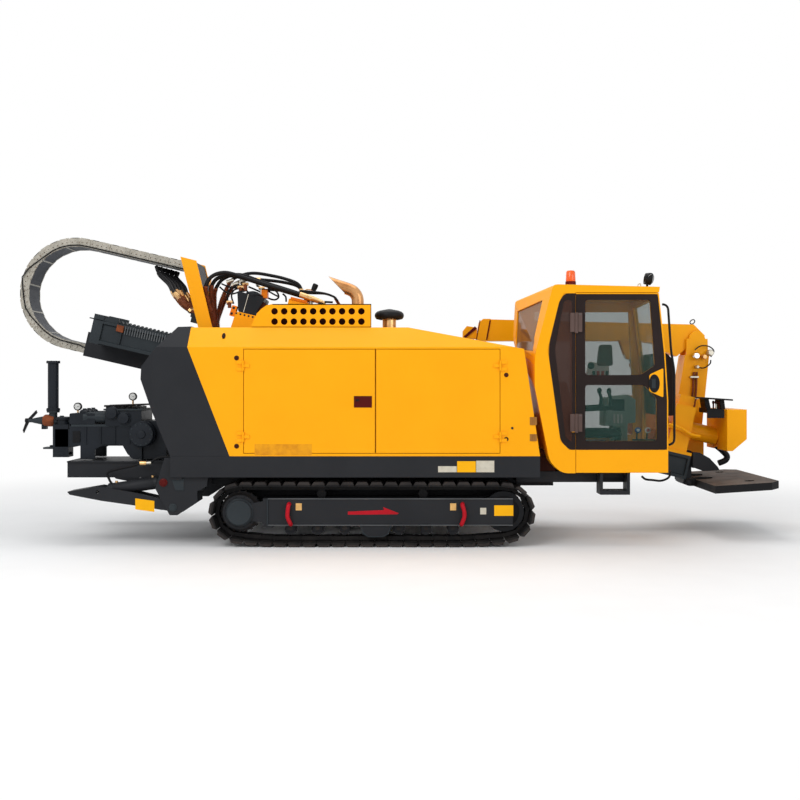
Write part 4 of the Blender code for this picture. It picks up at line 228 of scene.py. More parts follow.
FINISHES = {
    "yellow": surface("yellow_paint", (0.955, 0.400, 0.0035), (0.93, 0.385, 0.003), 0.36, coat=0.03,
                      grain=260, bump=0.03),
    "orange": surface("orange_paint", (0.86, 0.235, 0.004), (0.80, 0.19, 0.004), 0.42, grain=200,
                      bump=0.05),
    "dark": surface("dark_paint", (0.021, 0.022, 0.025), (0.018, 0.019, 0.022), 0.46, grain=300, bump=0.06),
    "slate": surface("slate_paint", (0.030, 0.037, 0.042), (0.022, 0.027, 0.031), 0.42, grain=240,
                     bump=0.06),
    "pump": surface("pump_paint", (0.013, 0.016, 0.021), (0.008, 0.010, 0.013), 0.40, coat=0.05,
                    grain=150, bump=0.10),
    "track": surface("track_steel", (0.015, 0.014, 0.014), (0.006, 0.006, 0.0065), 0.58, 0.1, grain=180,
                     bump=0.30),
    "worn": surface("worn_steel", (0.040, 0.034, 0.032), (0.018, 0.016, 0.016), 0.50, 0.2, grain=140,
                    bump=0.30),
    "black": surface("black_plastic", (0.007, 0.007, 0.008), (0.011, 0.011, 0.012), 0.45, grain=400,
                     bump=0.10),
    "hose": surface("hose_rubber", (0.006, 0.006, 0.007), (0.012, 0.012, 0.013), 0.52, grain=350,
                    bump=0.18),
    "chain": surface("chain_links", (0.47, 0.44, 0.38), (0.36, 0.34, 0.29), 0.52, grain=120, bump=0.15,
                     broad=9),
    "stay": surface("chain_stays", (0.42, 0.41, 0.37), (0.32, 0.31, 0.27), 0.42, 0.2, grain=160, bump=0.08),
    "chrome": surface("chrome", (0.70, 0.70, 0.70), (0.62, 0.62, 0.63), 0.14, 1.0, grain=60, bump=0.01),
    "brass": surface("brass", (0.78, 0.50, 0.22), (0.52, 0.30, 0.13), 0.30, 0.9, grain=120, bump=0.06,
                     broad=14),
    "zinc": surface("zinc_plate", (0.55, 0.52, 0.44), (0.42, 0.40, 0.34), 0.35, 0.9, grain=120, bump=0.05,
                    broad=14),
    "exhaust": surface("exhaust_metal", (0.62, 0.33, 0.14), (0.36, 0.15, 0.05), 0.30, 0.75, grain=70,
                       bump=0.03, broad=5),
    "rust": surface("rusty_metal", (0.060, 0.011, 0.004), (0.026, 0.006, 0.003), 0.65, grain=130,
                    bump=0.3, broad=8),
    "red": surface("red_paint", (0.50, 0.008, 0.020), (0.38, 0.007, 0.014), 0.35, grain=220, bump=0.04),
    "maroon": surface("maroon_paint", (0.105, 0.004, 0.003), (0.075, 0.004, 0.003), 0.35, grain=220,
                      bump=0.04),
    "band": surface("black_glass_border", (0.020, 0.012, 0.011), (0.014, 0.009, 0.008), 0.35, grain=30,
                    bump=0.01),
    "label_cream": surface("cream_plate", (0.60, 0.56, 0.46), (0.53, 0.49, 0.40), 0.5, grain=300,
                           bump=0.04, broad=20),
    "label_tan": surface("tan_plate", (0.78, 0.47, 0.17), (0.66, 0.38, 0.13), 0.5, grain=300, bump=0.04,
                         broad=20),
    "label_yellow": surface("yellow_plate", (0.95, 0.46, 0.005), (0.88, 0.42, 0.005), 0.4, grain=300,
                            bump=0.03),
    "amber": surface("amber_lens", (0.93, 0.14, 0.004), (0.80, 0.10, 0.003), 0.18, coat=0.8, grain=40,
                     bump=0.05),
    "console": surface("pale_console", (0.42, 0.52, 0.48), (0.35, 0.44, 0.41), 0.5, grain=300, bump=0.10),
    "cloth": surface("seat_cloth", (0.020, 0.020, 0.022), (0.030, 0.029, 0.030), 0.85, grain=600, bump=0.5),
    "plate_top": surface("ground_plate", (0.120, 0.088, 0.068), (0.055, 0.042, 0.034), 0.62, grain=90,
                         bump=0.3, broad=4),
    "copper": surface("hose_guard", (0.24, 0.062, 0.020), (0.10, 0.028, 0.012), 0.5, grain=160, bump=0.2,
                      broad=12),
    "blue": surface("blue_knob", (0.01, 0.06, 0.30), (0.01, 0.05, 0.22), 0.3, grain=200, bump=0.03),
    "white": surface("white_plastic", (0.75, 0.75, 0.72), (0.66, 0.66, 0.64), 0.4, grain=200, bump=0.03),
    "glass": clear("window_glass", (0.030, 0.075, 0.062), 0.32),
    "tinted": clear("tinted_glass", (0.050, 0.020, 0.013), 0.84),
    "quarter": clear("quarter_glass", (0.30, 0.16, 0.07), 0.66),
    "edge": surface("bare_edge", (0.13, 0.135, 0.14), (0.08, 0.085, 0.09), 0.4, 0.2, grain=200, bump=0.05),
    "hinge": surface("hinge_cover", (0.115, 0.075, 0.065), (0.080, 0.052, 0.046), 0.45, grain=200,
                     bump=0.05),
    "bronze": surface("bronze_plate", (0.38, 0.17, 0.035), (0.28, 0.12, 0.03), 0.45, grain=200, bump=0.05),
    "strip": surface("bare_strip", (0.80, 0.34, 0.01), (0.62, 0.23, 0.01), 0.4, grain=200, bump=0.05,
                     broad=14),
    "inner_plate": surface("chain_inner", (0.050, 0.056, 0.070), (0.036, 0.040, 0.050), 0.45, grain=200,
                           bump=0.05),
    "lens": clear("lamp_lens", (0.72, 0.74, 0.75), 0.35),
}
speckled(FINISHES["chain"], (0.20, 0.14, 0.09), 60.0, 0.60, 0.68)
dusty(FINISHES["track"], (0.040, 0.034, 0.030), 0.20, 0.25, 0.5)
dusty(FINISHES["worn"], (0.060, 0.048, 0.042), 0.30, 0.35, 0.5)
black_sided(FINISHES["plate_top"])


# Mesh building

SHARP_ANGLE = math.radians(35)


def side_axes(direction):
    """Two unit vectors square to a direction."""
    direction = Vector(direction).normalized()
    across = Vector((0, 1, 0)) if abs(direction.y) < 0.9 else Vector((0, 0, 1))
    first = (across - direction * across.dot(direction)).normalized()
    return first, direction.cross(first)


def circle(center, direction, radius, sides):
    first, second = side_axes(direction)
    angles = [2 * math.pi * (index + 0.5) / sides for index in range(sides)]
    return [Vector(center) + radius * (math.cos(a) * first + math.sin(a) * second) for a in angles]


def arc(center, radius, start, end, steps):
    """Points on an arc of a plane, its angles in degrees."""
    angles = [math.radians(start + (end - start) * index / steps) for index in range(steps + 1)]
    return [(center[0] + radius * math.cos(a), center[1] + radius * math.sin(a)) for a in angles]


def rounded(outline, radius, steps=4):
    """A closed outline with its corners rounded, by one radius or by one for each corner."""
    count = len(outline)
    radii = radius if isinstance(radius, (list, tuple)) else [radius] * count
    made = []
    for index, corner in enumerate(outline):
        corner = Vector(corner)
        before = Vector(outline[index - 1]) - corner
        after = Vector(outline[(index + 1) % count]) - corner
        reach = min(radii[index], before.length * 0.49, after.length * 0.49)
        for step in range(steps + 1):
            t = step / steps
            point = corner + before.normalized() * reach * (1 - t) ** 2 + after.normalized() * reach * t**2
            made.append(tuple(point))
    return made


def smooth_path(points, steps=6):
    """A smooth line through its points."""
    points = [Vector(point) for point in points]
    points = [points[0] * 2 - points[1], *points, points[-1] * 2 - points[-2]]
    line = []
    for a, b, c, d in zip(points, points[1:], points[2:], points[3:]):
        for step in range(steps):
            t = step / steps
            square = (2 * a - 5 * b + 4 * c - d) * t**2
            cube = (3 * b - a - 3 * c + d) * t**3
            line.append(0.5 * (2 * b + (c - a) * t + square + cube))
    line.append(points[-2])
    return line


class Form:
    """Gathers closed shapes into one mesh; each shape takes one of the piece's finishes."""

    def __init__(self, *finishes, place=None):
        self.finishes = finishes
        self.place = place
        self.mesh = bmesh.new()

    def put(self, point):
        return self.place(*point) if self.place else Vector(point)

    def loft(self, rings, finish=0, closed=False):
        """A solid through rings of equally many points, or a closed loop of them."""
        rows = [[self.mesh.verts.new(self.put(point)) for point in ring] for ring in rings]
        count = len(rows[0])
        faces = []
        pairs = list(zip(rows, rows[1:] + rows[:1])) if closed else list(zip(rows, rows[1:]))
        for low, high in pairs:
            for index in range(count):
                after = (index + 1) % count
                faces.append(self.mesh.faces.new((low[index], low[after], high[after], high[index])))
        if not closed:
            faces.append(self.mesh.faces.new(rows[0]))
            faces.append(self.mesh.faces.new(rows[-1]))
        for face in faces:
            face.material_index = finish
        bmesh.ops.recalc_face_normals(self.mesh, faces=faces)
        return self

    def prism(self, outline, low, high, finish=0, along="Y"):
        """An outline pushed along an axis: Y takes (x, z), Z takes (x, y) and X takes (y, z)."""
        order = {
            "X": lambda a, b, t: (t, a, b),
            "Y": lambda a, b, t: (a, t, b),
            "Z": lambda a, b, t: (a, b, t),
        }
        return self.loft([[order[along](a, b, t) for a, b in outline] for t in (low, high)], finish)

    def box(self, x, y, z, finish=0):
        corners = [(x[0], y[0]), (x[1], y[0]), (x[1], y[1]), (x[0], y[1])]
        return self.prism(corners, z[0], z[1], finish, "Z")

    def rod(self, start, end, radius, finish=0, sides=20):
        direction = Vector(end) - Vector(start)
        return self.loft([circle(point, direction, radius, sides) for point in (start, end)], finish)

    def lathe(self, profile, start, direction, finish=0, sides=28):
        """A turned solid: the profile lists (distance along the direction, radius)."""
        direction = Vector(direction).normalized()
        rings = [
            circle(Vector(start) + direction * reach, direction, max(radius, 0.0005), sides)
            for reach, radius in profile
        ]
        return self.loft(rings, finish)

    def tube(self, points, radius, finish=0, sides=12):
        """A round bar along a line."""
        points = [Vector(point) for point in points]
        steps = [(b - a).normalized() for a, b in zip(points, points[1:])]
        first, _ = side_axes(steps[0])
        rings = []
        for index, point in enumerate(points):
            middle = (steps[max(index - 1, 0)] + steps[min(index, len(steps) - 1)]).normalized()
            first = (first - middle * first.dot(middle)).normalized()
            second = middle.cross(first)
            angles = [2 * math.pi * side / sides for side in range(sides)]
            rings.append([point + radius * (math.cos(a) * first + math.sin(a) * second) for a in angles])
        return self.loft(rings, finish)

    def panel(self, pixels, plane, low, high, finish=0):
        """A box over a rectangle of the photograph: its left, right, top and low pixels."""
        left, right, top, foot = pixels
        p, q = seen(left, foot, plane), seen(right, top, plane)
        return self.box((p.x, q.x), sorted((low, high)), (p.z, q.z), finish)

    def bolt(self, at, direction, radius, finish=0, height=None):
        """A hexagon head on a washer."""
        height = height or radius * 0.8
        direction = Vector(direction).normalized()
        at = Vector(at)
        self.loft([circle(at - direction * 0.002, direction, radius * 1.35, 14),
                   circle(at + direction * radius * 0.25, direction, radius * 1.35, 14)], finish)
        self.loft([circle(at, direction, radius, 6),
                   circle(at + direction * height, direction, radius, 6)], finish)

    def bolt_ring(self, center, axis, reach, count, radius, finish=0, height=None, turn=0.0):
        """Bolts on a circle, square to the Y or the Z axis."""
        for index in range(count):
            angle = 2 * math.pi * (index + turn) / count
            a, b = reach * math.cos(angle), reach * math.sin(angle)
            self.bolt(Vector(center) + Vector((a, b, 0) if axis[2] else (a, 0, b)), axis, radius, finish,
                      height)

    def done(self, name, body=None, bevel=0.0, replaces=()):
        """The piece: its mesh and finishes, the body it rides on and the CAD nodes it stands for."""
        mesh = bpy.data.meshes.new(name)
        self.mesh.to_mesh(mesh)
        self.mesh.free()
        for finish in self.finishes:
            mesh.materials.append(FINISHES[finish])
        mesh.shade_smooth()
        mesh.set_sharp_from_angle(angle=SHARP_ANGLE)
        item = placed(name, mesh)
        if bevel:
            soften(item, bevel, 2)
        if body:
            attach(item, body)
        if replaces:
            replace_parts(item, *replaces)
        return item


def placed(name, data):
    """A new object in the scene."""
    item = bpy.data.objects.new(name, data)
    bpy.context.scene.collection.objects.link(item)
    return item


def soften(item, width, segments):
    """Rounds the sharp edges."""
    step = item.modifiers.new("edges", "BEVEL")
    step.width = width
    step.segments = segments
    step.limit_method = "ANGLE"
    step.angle_limit = math.radians(38)
    step.harden_normals = True
    step.use_clamp_overlap = True


def carve(item, cutters):
    """Cuts closed shapes out of a piece."""
    holder = bpy.data.collections.new("cutters")
    for cutter in cutters:
        holder.objects.link(cutter)
    step = item.modifiers.new("cut", "BOOLEAN")
    step.operation = "DIFFERENCE"
    step.solver = "EXACT"
    step.operand_type = "COLLECTION"
    step.collection = holder
    view = bpy.context.evaluated_depsgraph_get()
    mesh = bpy.data.meshes.new_from_object(item.evaluated_get(view))
    item.modifiers.clear()
    item.data = mesh
    mesh.set_sharp_from_angle(angle=SHARP_ANGLE)
    for cutter in cutters:
        bpy.data.objects.remove(cutter, do_unlink=True)
    bpy.data.collections.remove(holder)


def dress(node, finish, bevel=0.0, segments=2):
    """A CAD node's material, and its edges rounded."""
    item = NODES[node]
    item.data.materials.clear()
    item.data.materials.append(FINISHES[finish])
    if bevel:
        weld = item.modifiers.new("weld", "WELD")
        weld.merge_threshold = 0.0001
        soften(item, bevel, segments)


# Stage


def stage():
    """A pale floor, soft lights, a white background and the photograph's camera."""
    world = bpy.data.worlds.new("studio")
    bpy.context.scene.world = world
    world.use_nodes = True
    tree = world.node_tree
    tree.nodes.clear()
    rays = tree.nodes.new("ShaderNodeLightPath")
    shown = rays.outputs["Is Camera Ray"]
    for kind in ("Is Transmission Ray", "Is Glossy Ray"):
        either = node(tree, "Math", {0: shown, 1: rays.outputs[kind]})
        either.operation = "MAXIMUM"
        shown = either.outputs["Value"]
    white = node(tree, "Background", {"Color": (1, 1, 1, 1), "Strength": 1.0})
    light = node(tree, "Background", {"Color": (0.96, 0.98, 1.0, 1), "Strength": 0.52})
    both = node(tree, "MixShader", {"Fac": shown, 1: light.outputs["Background"],
                                    2: white.outputs["Background"]})
    node(tree, "OutputWorld", {"Surface": both.outputs["Shader"]})
    floor = Form("floor")
    floor.box((-60, 60), (-60, 60), (-0.05, -0.001))
    floor.done("floor")
    lamp("key", (-6.0, -11.0, 9.0), (0.0, 0.0, 1.0), 7.0, 760)
    lamp("fill", (9.0, -9.0, 5.0), (0.5, 0.0, 1.2), 6.0, 280)
    lamp("top", (0.0, 1.0, 10.0), (0.0, 0.0, 0.0), 8.0, 430)
    data = bpy.data.cameras.new("camera")
    data.lens = LENS
    data.sensor_width = 36.0
    data.shift_y = -0.025
    camera = placed("camera", data)
    camera.location = CAMERA_AT
    camera.rotation_euler = (math.radians(90), 0, 0)
    bpy.context.scene.camera = camera
    bpy.context.scene.view_settings.view_transform = "Standard"


def lamp(name, at, target, size, power):
    data = bpy.data.lights.new(name, "AREA")
    data.size = size
    data.energy = power
    item = placed(name, data)
    item.location = at
    direction = Vector(target) - Vector(at)
    item.rotation_euler = direction.to_track_quat("-Z", "Y").to_euler()


def studio_floor():
    """A pale floor that takes the shadow and turns to the background's white further out."""
    made = surface("studio_floor", (0.94, 0.94, 0.94), (0.925, 0.925, 0.925), 0.6, grain=20, bump=0.01)
    tree = made.node_tree
    reach = node(tree, "VectorMath", {0: coordinate(tree)})
    reach.operation = "LENGTH"
    share = node(tree, "MapRange", {"From Min": 4.5, "From Max": 10.0, "Value": reach.outputs["Value"]})
    share.interpolation_type = "SMOOTHSTEP"
    rays = tree.nodes.new("ShaderNodeLightPath")
    shown = node(tree, "Math", {0: share.outputs["Result"], 1: rays.outputs["Is Camera Ray"]})
    shown.operation = "MULTIPLY"
    paint = tree.nodes["Principled BSDF"].outputs["BSDF"]
    white = node(tree, "Emission", {}).outputs["Emission"]
    both = node(tree, "MixShader", {"Fac": shown.outputs["Value"], 1: paint, 2: white})
    feed(tree, tree.nodes["Material Output"], {"Surface": both.outputs["Shader"]})
    return made


FINISHES["floor"] = studio_floor()


# Tracks


def belt_line(radius):
    """The belt's closed line round its four wheels."""
    normals = []
    for a, b in zip(WHEELS, WHEELS[1:] + WHEELS[:1]):
        direction = (Vector(b) - Vector(a)).normalized()
        normals.append(Vector((-direction.y, direction.x)))
    line = []
    for index, center in enumerate(WHEELS):
        before = math.degrees(math.atan2(normals[index - 1].y, normals[index - 1].x))
        after = math.degrees(math.atan2(normals[index].y, normals[index].x))
        sweep = (before - after) % 360
        line += arc(center, radius, before, before - sweep, max(1, round(BELT_STEPS * sweep / 180)))
    return [Vector(point) for point in line]


def belt_places(radius, count):
    """Evenly spaced places on the belt: a point, its outward and its forward direction."""
    line = belt_line(radius)
    reach = [0.0]
    for a, b in zip(line, line[1:] + line[:1]):
        reach.append(reach[-1] + (b - a).length)
    pitch = reach[-1] / count
    places = []
    for index in range(count):
        ends = []
        for offset in (-0.5, 0.5):
            target = (pitch * (index + offset)) % reach[-1]
            row = max(i for i, length in enumerate(reach[:-1]) if length <= target)
            a, b = line[row], line[(row + 1) % len(line)]
            ends.append(a + (b - a).normalized() * (target - reach[row]))
        forward = (ends[1] - ends[0]).normalized()
        places.append(((ends[0] + ends[1]) / 2, Vector((-forward.y, forward.x)), forward))
    return places, pitch


def track(side, tag):
    """Every shoe with its grouser, bolts and lugs, and the links with their pins."""
    places, pitch = belt_places(SHOE_RADIUS, SHOE_COUNT)
    form = Form("track", "worn", "black")
    half = pitch / 2
    edge = TRACK_WIDTH / 2
    middle = side * TRACK_MIDDLE
    plate = [(-0.96, 0.006), (-0.96, 0.016), (-0.62, 0.022), (0.62, 0.022), (0.96, 0.012), (0.96, 0.002)]
    grouser = [(-0.90, 0.020), (-0.64, 0.051), (0.64, 0.051), (0.90, 0.020)]
    for index, (center, outward, forward) in enumerate(places):
        def lay(outline, low, high, finish):
            rows = []
            for y in (low, high):
                ring = []
                for a, b in outline:
                    point = center + forward * a * half + outward * b
                    ring.append((point.x, y, point.y))
                rows.append(ring)
            form.loft(rows, finish)

        lay(plate, middle - edge, middle + edge, 0)
        lay(grouser, middle - edge + 0.004, middle - 0.020, 1)
        lay(grouser, middle + 0.020, middle + edge - 0.004, 1)
        inner = [(-1.18, -0.004), (-1.18, -0.044), (1.18, -0.044), (1.18, -0.004)]
        for offset in (-0.062, 0.062):
            shift = 0.010 if index % 2 else 0.0
            y = middle + offset + (shift if offset > 0 else -shift)
            lay(inner, y - 0.009, y + 0.009, 0)
        pin = center + forward * half + outward * -0.024
        form.rod((pin.x, middle - 0.079, pin.y), (pin.x, middle + 0.079, pin.y), 0.017, 0, 10)
        for y in (-0.115, 0.115):
            at = center + outward * 0.022
            form.bolt((at.x + forward.x * half * 0.75, middle + y, at.y + forward.y * half * 0.75),
                      (outward.x, 0, outward.y), 0.008, 0)
    form.done("track_" + tag + "_shoes", "machine", replaces=("track_" + tag,))


def wheel_profile(rim, width, hub):
    """A track roller's profile: flanges outside, a hub between."""
    return [(0, hub), (0.004, rim * 0.80), (0.012, rim), (width * 0.28, rim), (width * 0.30, rim * 0.86),
            (width * 0.70, rim * 0.86), (width * 0.72, rim), (width - 0.012, rim),
            (width - 0.004, rim * 0.80), (width, hub)]


def track_frame(side, tag):
    """The beam's lips, covers, rollers and the drive's cover, with the marks of the near side."""
    face = side * FRAME_FACE
    out = side

    def y(depth):
        return face + out * depth

    form = Form("dark", "slate", "black", "worn", "edge")
    for z in (0.225, 0.508):
        form.box((-1.196, 1.442), sorted((y(-0.01), y(0.012))), (z - 0.002, z + 0.008), 4)
    form.box((-1.200, -1.186), sorted((y(-0.01), y(0.012))), (0.221, 0.518), 1)
    form.box((-1.25, -1.13), sorted((y(-0.06), y(0.006))), (0.205, 0.228))
    for x in (-0.62, 0.48):
        form.lathe([(0, 0.05), (0.01, 0.055), (0.10, 0.055), (0.11, 0.04)],
                   (x, side * TRACK_MIDDLE - 0.055, 0.555), (0, 1, 0), 2, 20)
        form.box((x - 0.03, x + 0.03), sorted((side * 0.86, side * 0.80)), (0.48, 0.545))
    for index in range(7):
        x = -1.10 + 2.05 * (index + 0.5) / 7
        form.lathe(wheel_profile(0.064, 0.14, 0.03), (x, side * TRACK_MIDDLE - 0.07, 0.1777), (0, 1, 0),
                   2, 24)
        form.rod((x, side * 1.0, 0.19), (x, side * 0.78, 0.19), 0.026, 3, 16)
        form.box((x - 0.045, x + 0.045), sorted((side * 0.995, side * 0.972)), (0.16, 0.232))
    guard = [(-0.20, 0.225), (-0.17, 0.135), (-0.11, 0.098), (0.05, 0.098), (0.11, 0.135), (0.14, 0.225)]
    form.prism(guard, *sorted((y(0.0), y(-0.022))))
    rim = [(-0.20, 0.225), (-0.17, 0.135), (-0.11, 0.098), (0.05, 0.098), (0.11, 0.135), (0.14, 0.225),
           (0.126, 0.225), (0.099, 0.143), (0.045, 0.110), (-0.106, 0.110), (-0.158, 0.143),
           (-0.186, 0.225)]
    form.prism(rim, *sorted((y(0.006), y(-0.022))), 1)
    x, z = WHEELS[0]
    form.lathe([(0, 0.150), (0.006, 0.150), (0.012, 0.138), (0.045, 0.134), (0.052, 0.126),
                (0.052, 0.02)], (x, y(-0.006), z), (0, out, 0), 1, 40)
    form.lathe([(0, 0.185), (0.02, 0.185)], (x, y(-0.04), z), (0, out, 0), 0, 40)
    form.bolt_ring((x, y(-0.020), z), (0, out, 0), 0.165, 12, 0.009, turn=0.5)
    teeth = 21
    ring = []
    for index in range(teeth):
        for radius, share in ((0.205, 0.0), (0.205, 0.25), (0.232, 0.42), (0.232, 0.58), (0.205, 0.75)):
            angle = 2 * math.pi * (index + share) / teeth
            ring.append((x + radius * math.cos(angle), z + radius * math.sin(angle)))
    form.prism(ring, side * TRACK_MIDDLE - 0.032, side * TRACK_MIDDLE + 0.032, 3)
    x, z = WHEELS[1]
    form.lathe([(0, 0.10), (0.004, 0.19), (0.02, 0.212), (0.04, 0.212), (0.044, 0.19), (0.05, 0.17),
                (0.076, 0.17), (0.082, 0.19), (0.086, 0.212), (0.106, 0.212), (0.122, 0.19),
                (0.126, 0.10)], (x, side * TRACK_MIDDLE - 0.063, z), (0, 1, 0), 2, 40)
    form.done("track_frame_" + tag + "_fittings", "machine", bevel=0.0025)
    frame_marks(side, tag)


def frame_marks(side, tag):
    """Lifting handles, the direction arrow and bare plates on the beam's outer face."""
    face = side * FRAME_FACE
    form = Form("red", "label_tan", "label_cream", "label_yellow")
    near = -FRAME_FACE
    for px, lean in ((289.5, 0.020), (462.5, -0.020)):
        top = seen(px, 503.5, near)
        low = seen(px + (1.5 if px < 400 else -1), 524, near)
        out = side * 0.045
        route = [
            (top.x, face - side * 0.01, top.z),
            (top.x - 0.004, face + out * 0.8, top.z - 0.012),
            ((top.x + low.x) / 2 - lean, face + out, (top.z + low.z) / 2 + 0.03),
            ((top.x + low.x) / 2 - lean, face + out, (top.z + low.z) / 2 - 0.03),
            (low.x, face + out * 0.8, low.z + 0.012),
            (low.x, face - side * 0.01, low.z),
        ]
        form.tube(smooth_path(route, 5), 0.023)
    a, b = seen(348, 512.5, near), seen(399, 510, near)
    shaft = [(a.x, a.z + 0.014), (b.x - 0.16, a.z + 0.030), (b.x - 0.17, a.z + 0.062), (b.x, a.z - 0.004),
             (b.x - 0.02, a.z - 0.016), (a.x, a.z - 0.020)]
    form.prism(shaft, *sorted((face, face + side * LABEL_THICKNESS)))
    plates = (((296, 302, 503, 510), 1), ((450, 456, 503, 510), 1), ((480, 486, 507.5, 514), 2),
              ((494, 513, 505, 515.5), 3))
    for pixels, finish in plates:
        form.panel(pixels, near, face, face + side * LABEL_THICKNESS, finish)
    form.done("track_frame_" + tag + "_marks", "machine")


# Chassis and rear


def chassis_details():
    """The skirt's blank plates, the deck's bolts and the hoses of the stabilizers."""
    dress("chassis", "dark", 0.004)
    underframe()
    form = Form("label_cream", "label_yellow", "dark", "brass", "hose", "zinc")
    for pixels, finish in (((438, 456.5, 466, 472), 0), ((457, 475.5, 461, 472), 1),
                           ((476, 494, 460.5, 472), 0)):
        form.panel(pixels, SKIRT_FACE, SKIRT_FACE - LABEL_THICKNESS, SKIRT_FACE + 0.001, finish)
    for x in (-2.1, -1.2, -0.3, 0.6, 1.5):
        for y in (-0.9, 0.9):
            form.bolt((x, y, 0.973), (0, 0, 1), 0.012, 2)
    for side in (-1, 1):
        x, y, z = seen(141.5, 463, -0.98).x, side * 0.93, 0.885
        form.rod((x - 0.02, y, z), (x + 0.05, y, z), 0.024, 3, 12)
        form.rod((x + 0.05, y, z), (x + 0.10, y, z + 0.004), 0.018, 5, 12)
        form.tube(smooth_path([(x + 0.09, y, z), (x + 0.17, y, z + 0.055), (x + 0.30, y, z + 0.07),
                               (x + 0.52, y, z + 0.06)]), 0.014, 4)
        form.tube(smooth_path([(x - 0.02, y, z), (x - 0.10, y + side * 0.01, z - 0.03), (-2.93, y, 0.79),
                               (-2.93, side * 0.92, 0.71), (-2.90, side * 0.91, 0.655)]), 0.013, 4)
    form.done("chassis_fittings", "machine")


def underframe():
    """Two spines with raised ends, the cross beams, the cab's beam and the lugs of the mast's cylinder."""
    form = Form("dark", "rust")
    near = [(-2.108, 0.62), (-1.75, 0.62), (-1.60, 0.40), (1.45, 0.40), (1.62, 0.665), (2.50, 0.665),
            (2.50, 0.789), (1.60, 0.789), (1.60, 0.929), (-2.108, 0.929)]
    far = [(-2.108, 0.62), (-1.75, 0.62), (-1.60, 0.40), (1.40, 0.40), (1.55, 0.50), (2.10, 0.50),
           (2.10, 0.599), (1.449, 0.599), (1.449, 0.929), (-2.108, 0.929)]
    form.prism(near, -0.59, -0.45).prism(far, 0.45, 0.59)
    for x in (-0.86, 0.76):
        form.box((x - 0.14, x + 0.14), (-0.739, 0.739), (0.28, 0.50))
    form.prism([(1.50, 0.67), (2.69, 0.67), (2.76, 0.789), (1.50, 0.789)], -0.85, -0.30)
    # A dark-red block under the cab's near corner: painted shade in the gap between the hood and the cab.
    form.box((1.50, 1.93), (-0.84, -0.30), (0.789, 1.02), 1)
    lug = [(-0.949, 0.45), (-0.723, 0.45), *arc((-0.789, 0.607), 0.065, 0, 180, 8)]
    for y in (0.265, 0.405):
        form.prism(lug, y, y + 0.03)
    form.done("underframe_dressed", "machine", bevel=0.004, replaces=("underframe",))


def stabilizers():
    """The arms with their pins and plates, and the cylinders with their glands and fittings."""
    for side, tag in ((-1, "near"), (1, "far")):
        dress("stabilizer_arm_" + tag, "dark", 0.004)
        dress("stabilizer_barrel_" + tag, "slate", 0.003)
        dress("stabilizer_rod_" + tag, "chrome", 0.001)
        face = side * STABILIZER_FACE
        form = Form("label_yellow", "dark", "maroon")
        p, q = seen(136, 509, -STABILIZER_FACE), seen(155, 498, -STABILIZER_FACE)
        tilt = -0.028
        outline = [(p.x, p.z), (q.x, p.z + tilt), (q.x, q.z + tilt), (p.x, q.z)]
        form.prism(outline, *sorted((face - side * 0.001, face + side * LABEL_THICKNESS)))
        form.done("stabilizer_arm_" + tag + "_plate", "stabilizer_arm_" + tag)
        pins = Form("slate", "maroon")
        for x, z, finish in ((-2.210, 0.417, 0), (-2.311, 0.685, 1)):
            reach = side * 1.05
            pins.lathe([(0, 0.045), (0.008, 0.045), (0.012, 0.030), (0.018, 0.028)], (x, reach, z),
                       (0, side, 0), finish, 24)
        rib = [(-2.228, 0.73), (-2.09, 0.73), (-2.09, 0.60), (-2.18, 0.60)]
        pins.prism(rib, *sorted((side * 1.05, side * 1.058)))
        pins.done("stabilizer_pins_" + tag, "machine", bevel=0.003)
        gland = Form("dark", "brass")
        start = Vector((-2.311, side * 0.90, 0.685))
        ahead = (Vector((-3.03, side * 0.90, 0.580)) - start).normalized()
        gland.lathe([(0.585, 0.060), (0.592, 0.070), (0.622, 0.070), (0.628, 0.060)], start, ahead)
        gland.lathe([(0.12, 0.060), (0.13, 0.067), (0.58, 0.067), (0.59, 0.060)], start, ahead, 0, 32)
        gland.lathe([(0.09, 0.058), (0.095, 0.066), (0.135, 0.066), (0.14, 0.058)], start, ahead)
        up = Vector((0, 0, 1))
        for reach in (0.15, 0.55):
            foot = start + ahead * reach
            gland.rod(foot + up * 0.055, foot + up * 0.085, 0.016, 1, 12)
        gland.done("stabilizer_gland_" + tag, "stabilizer_barrel_" + tag)


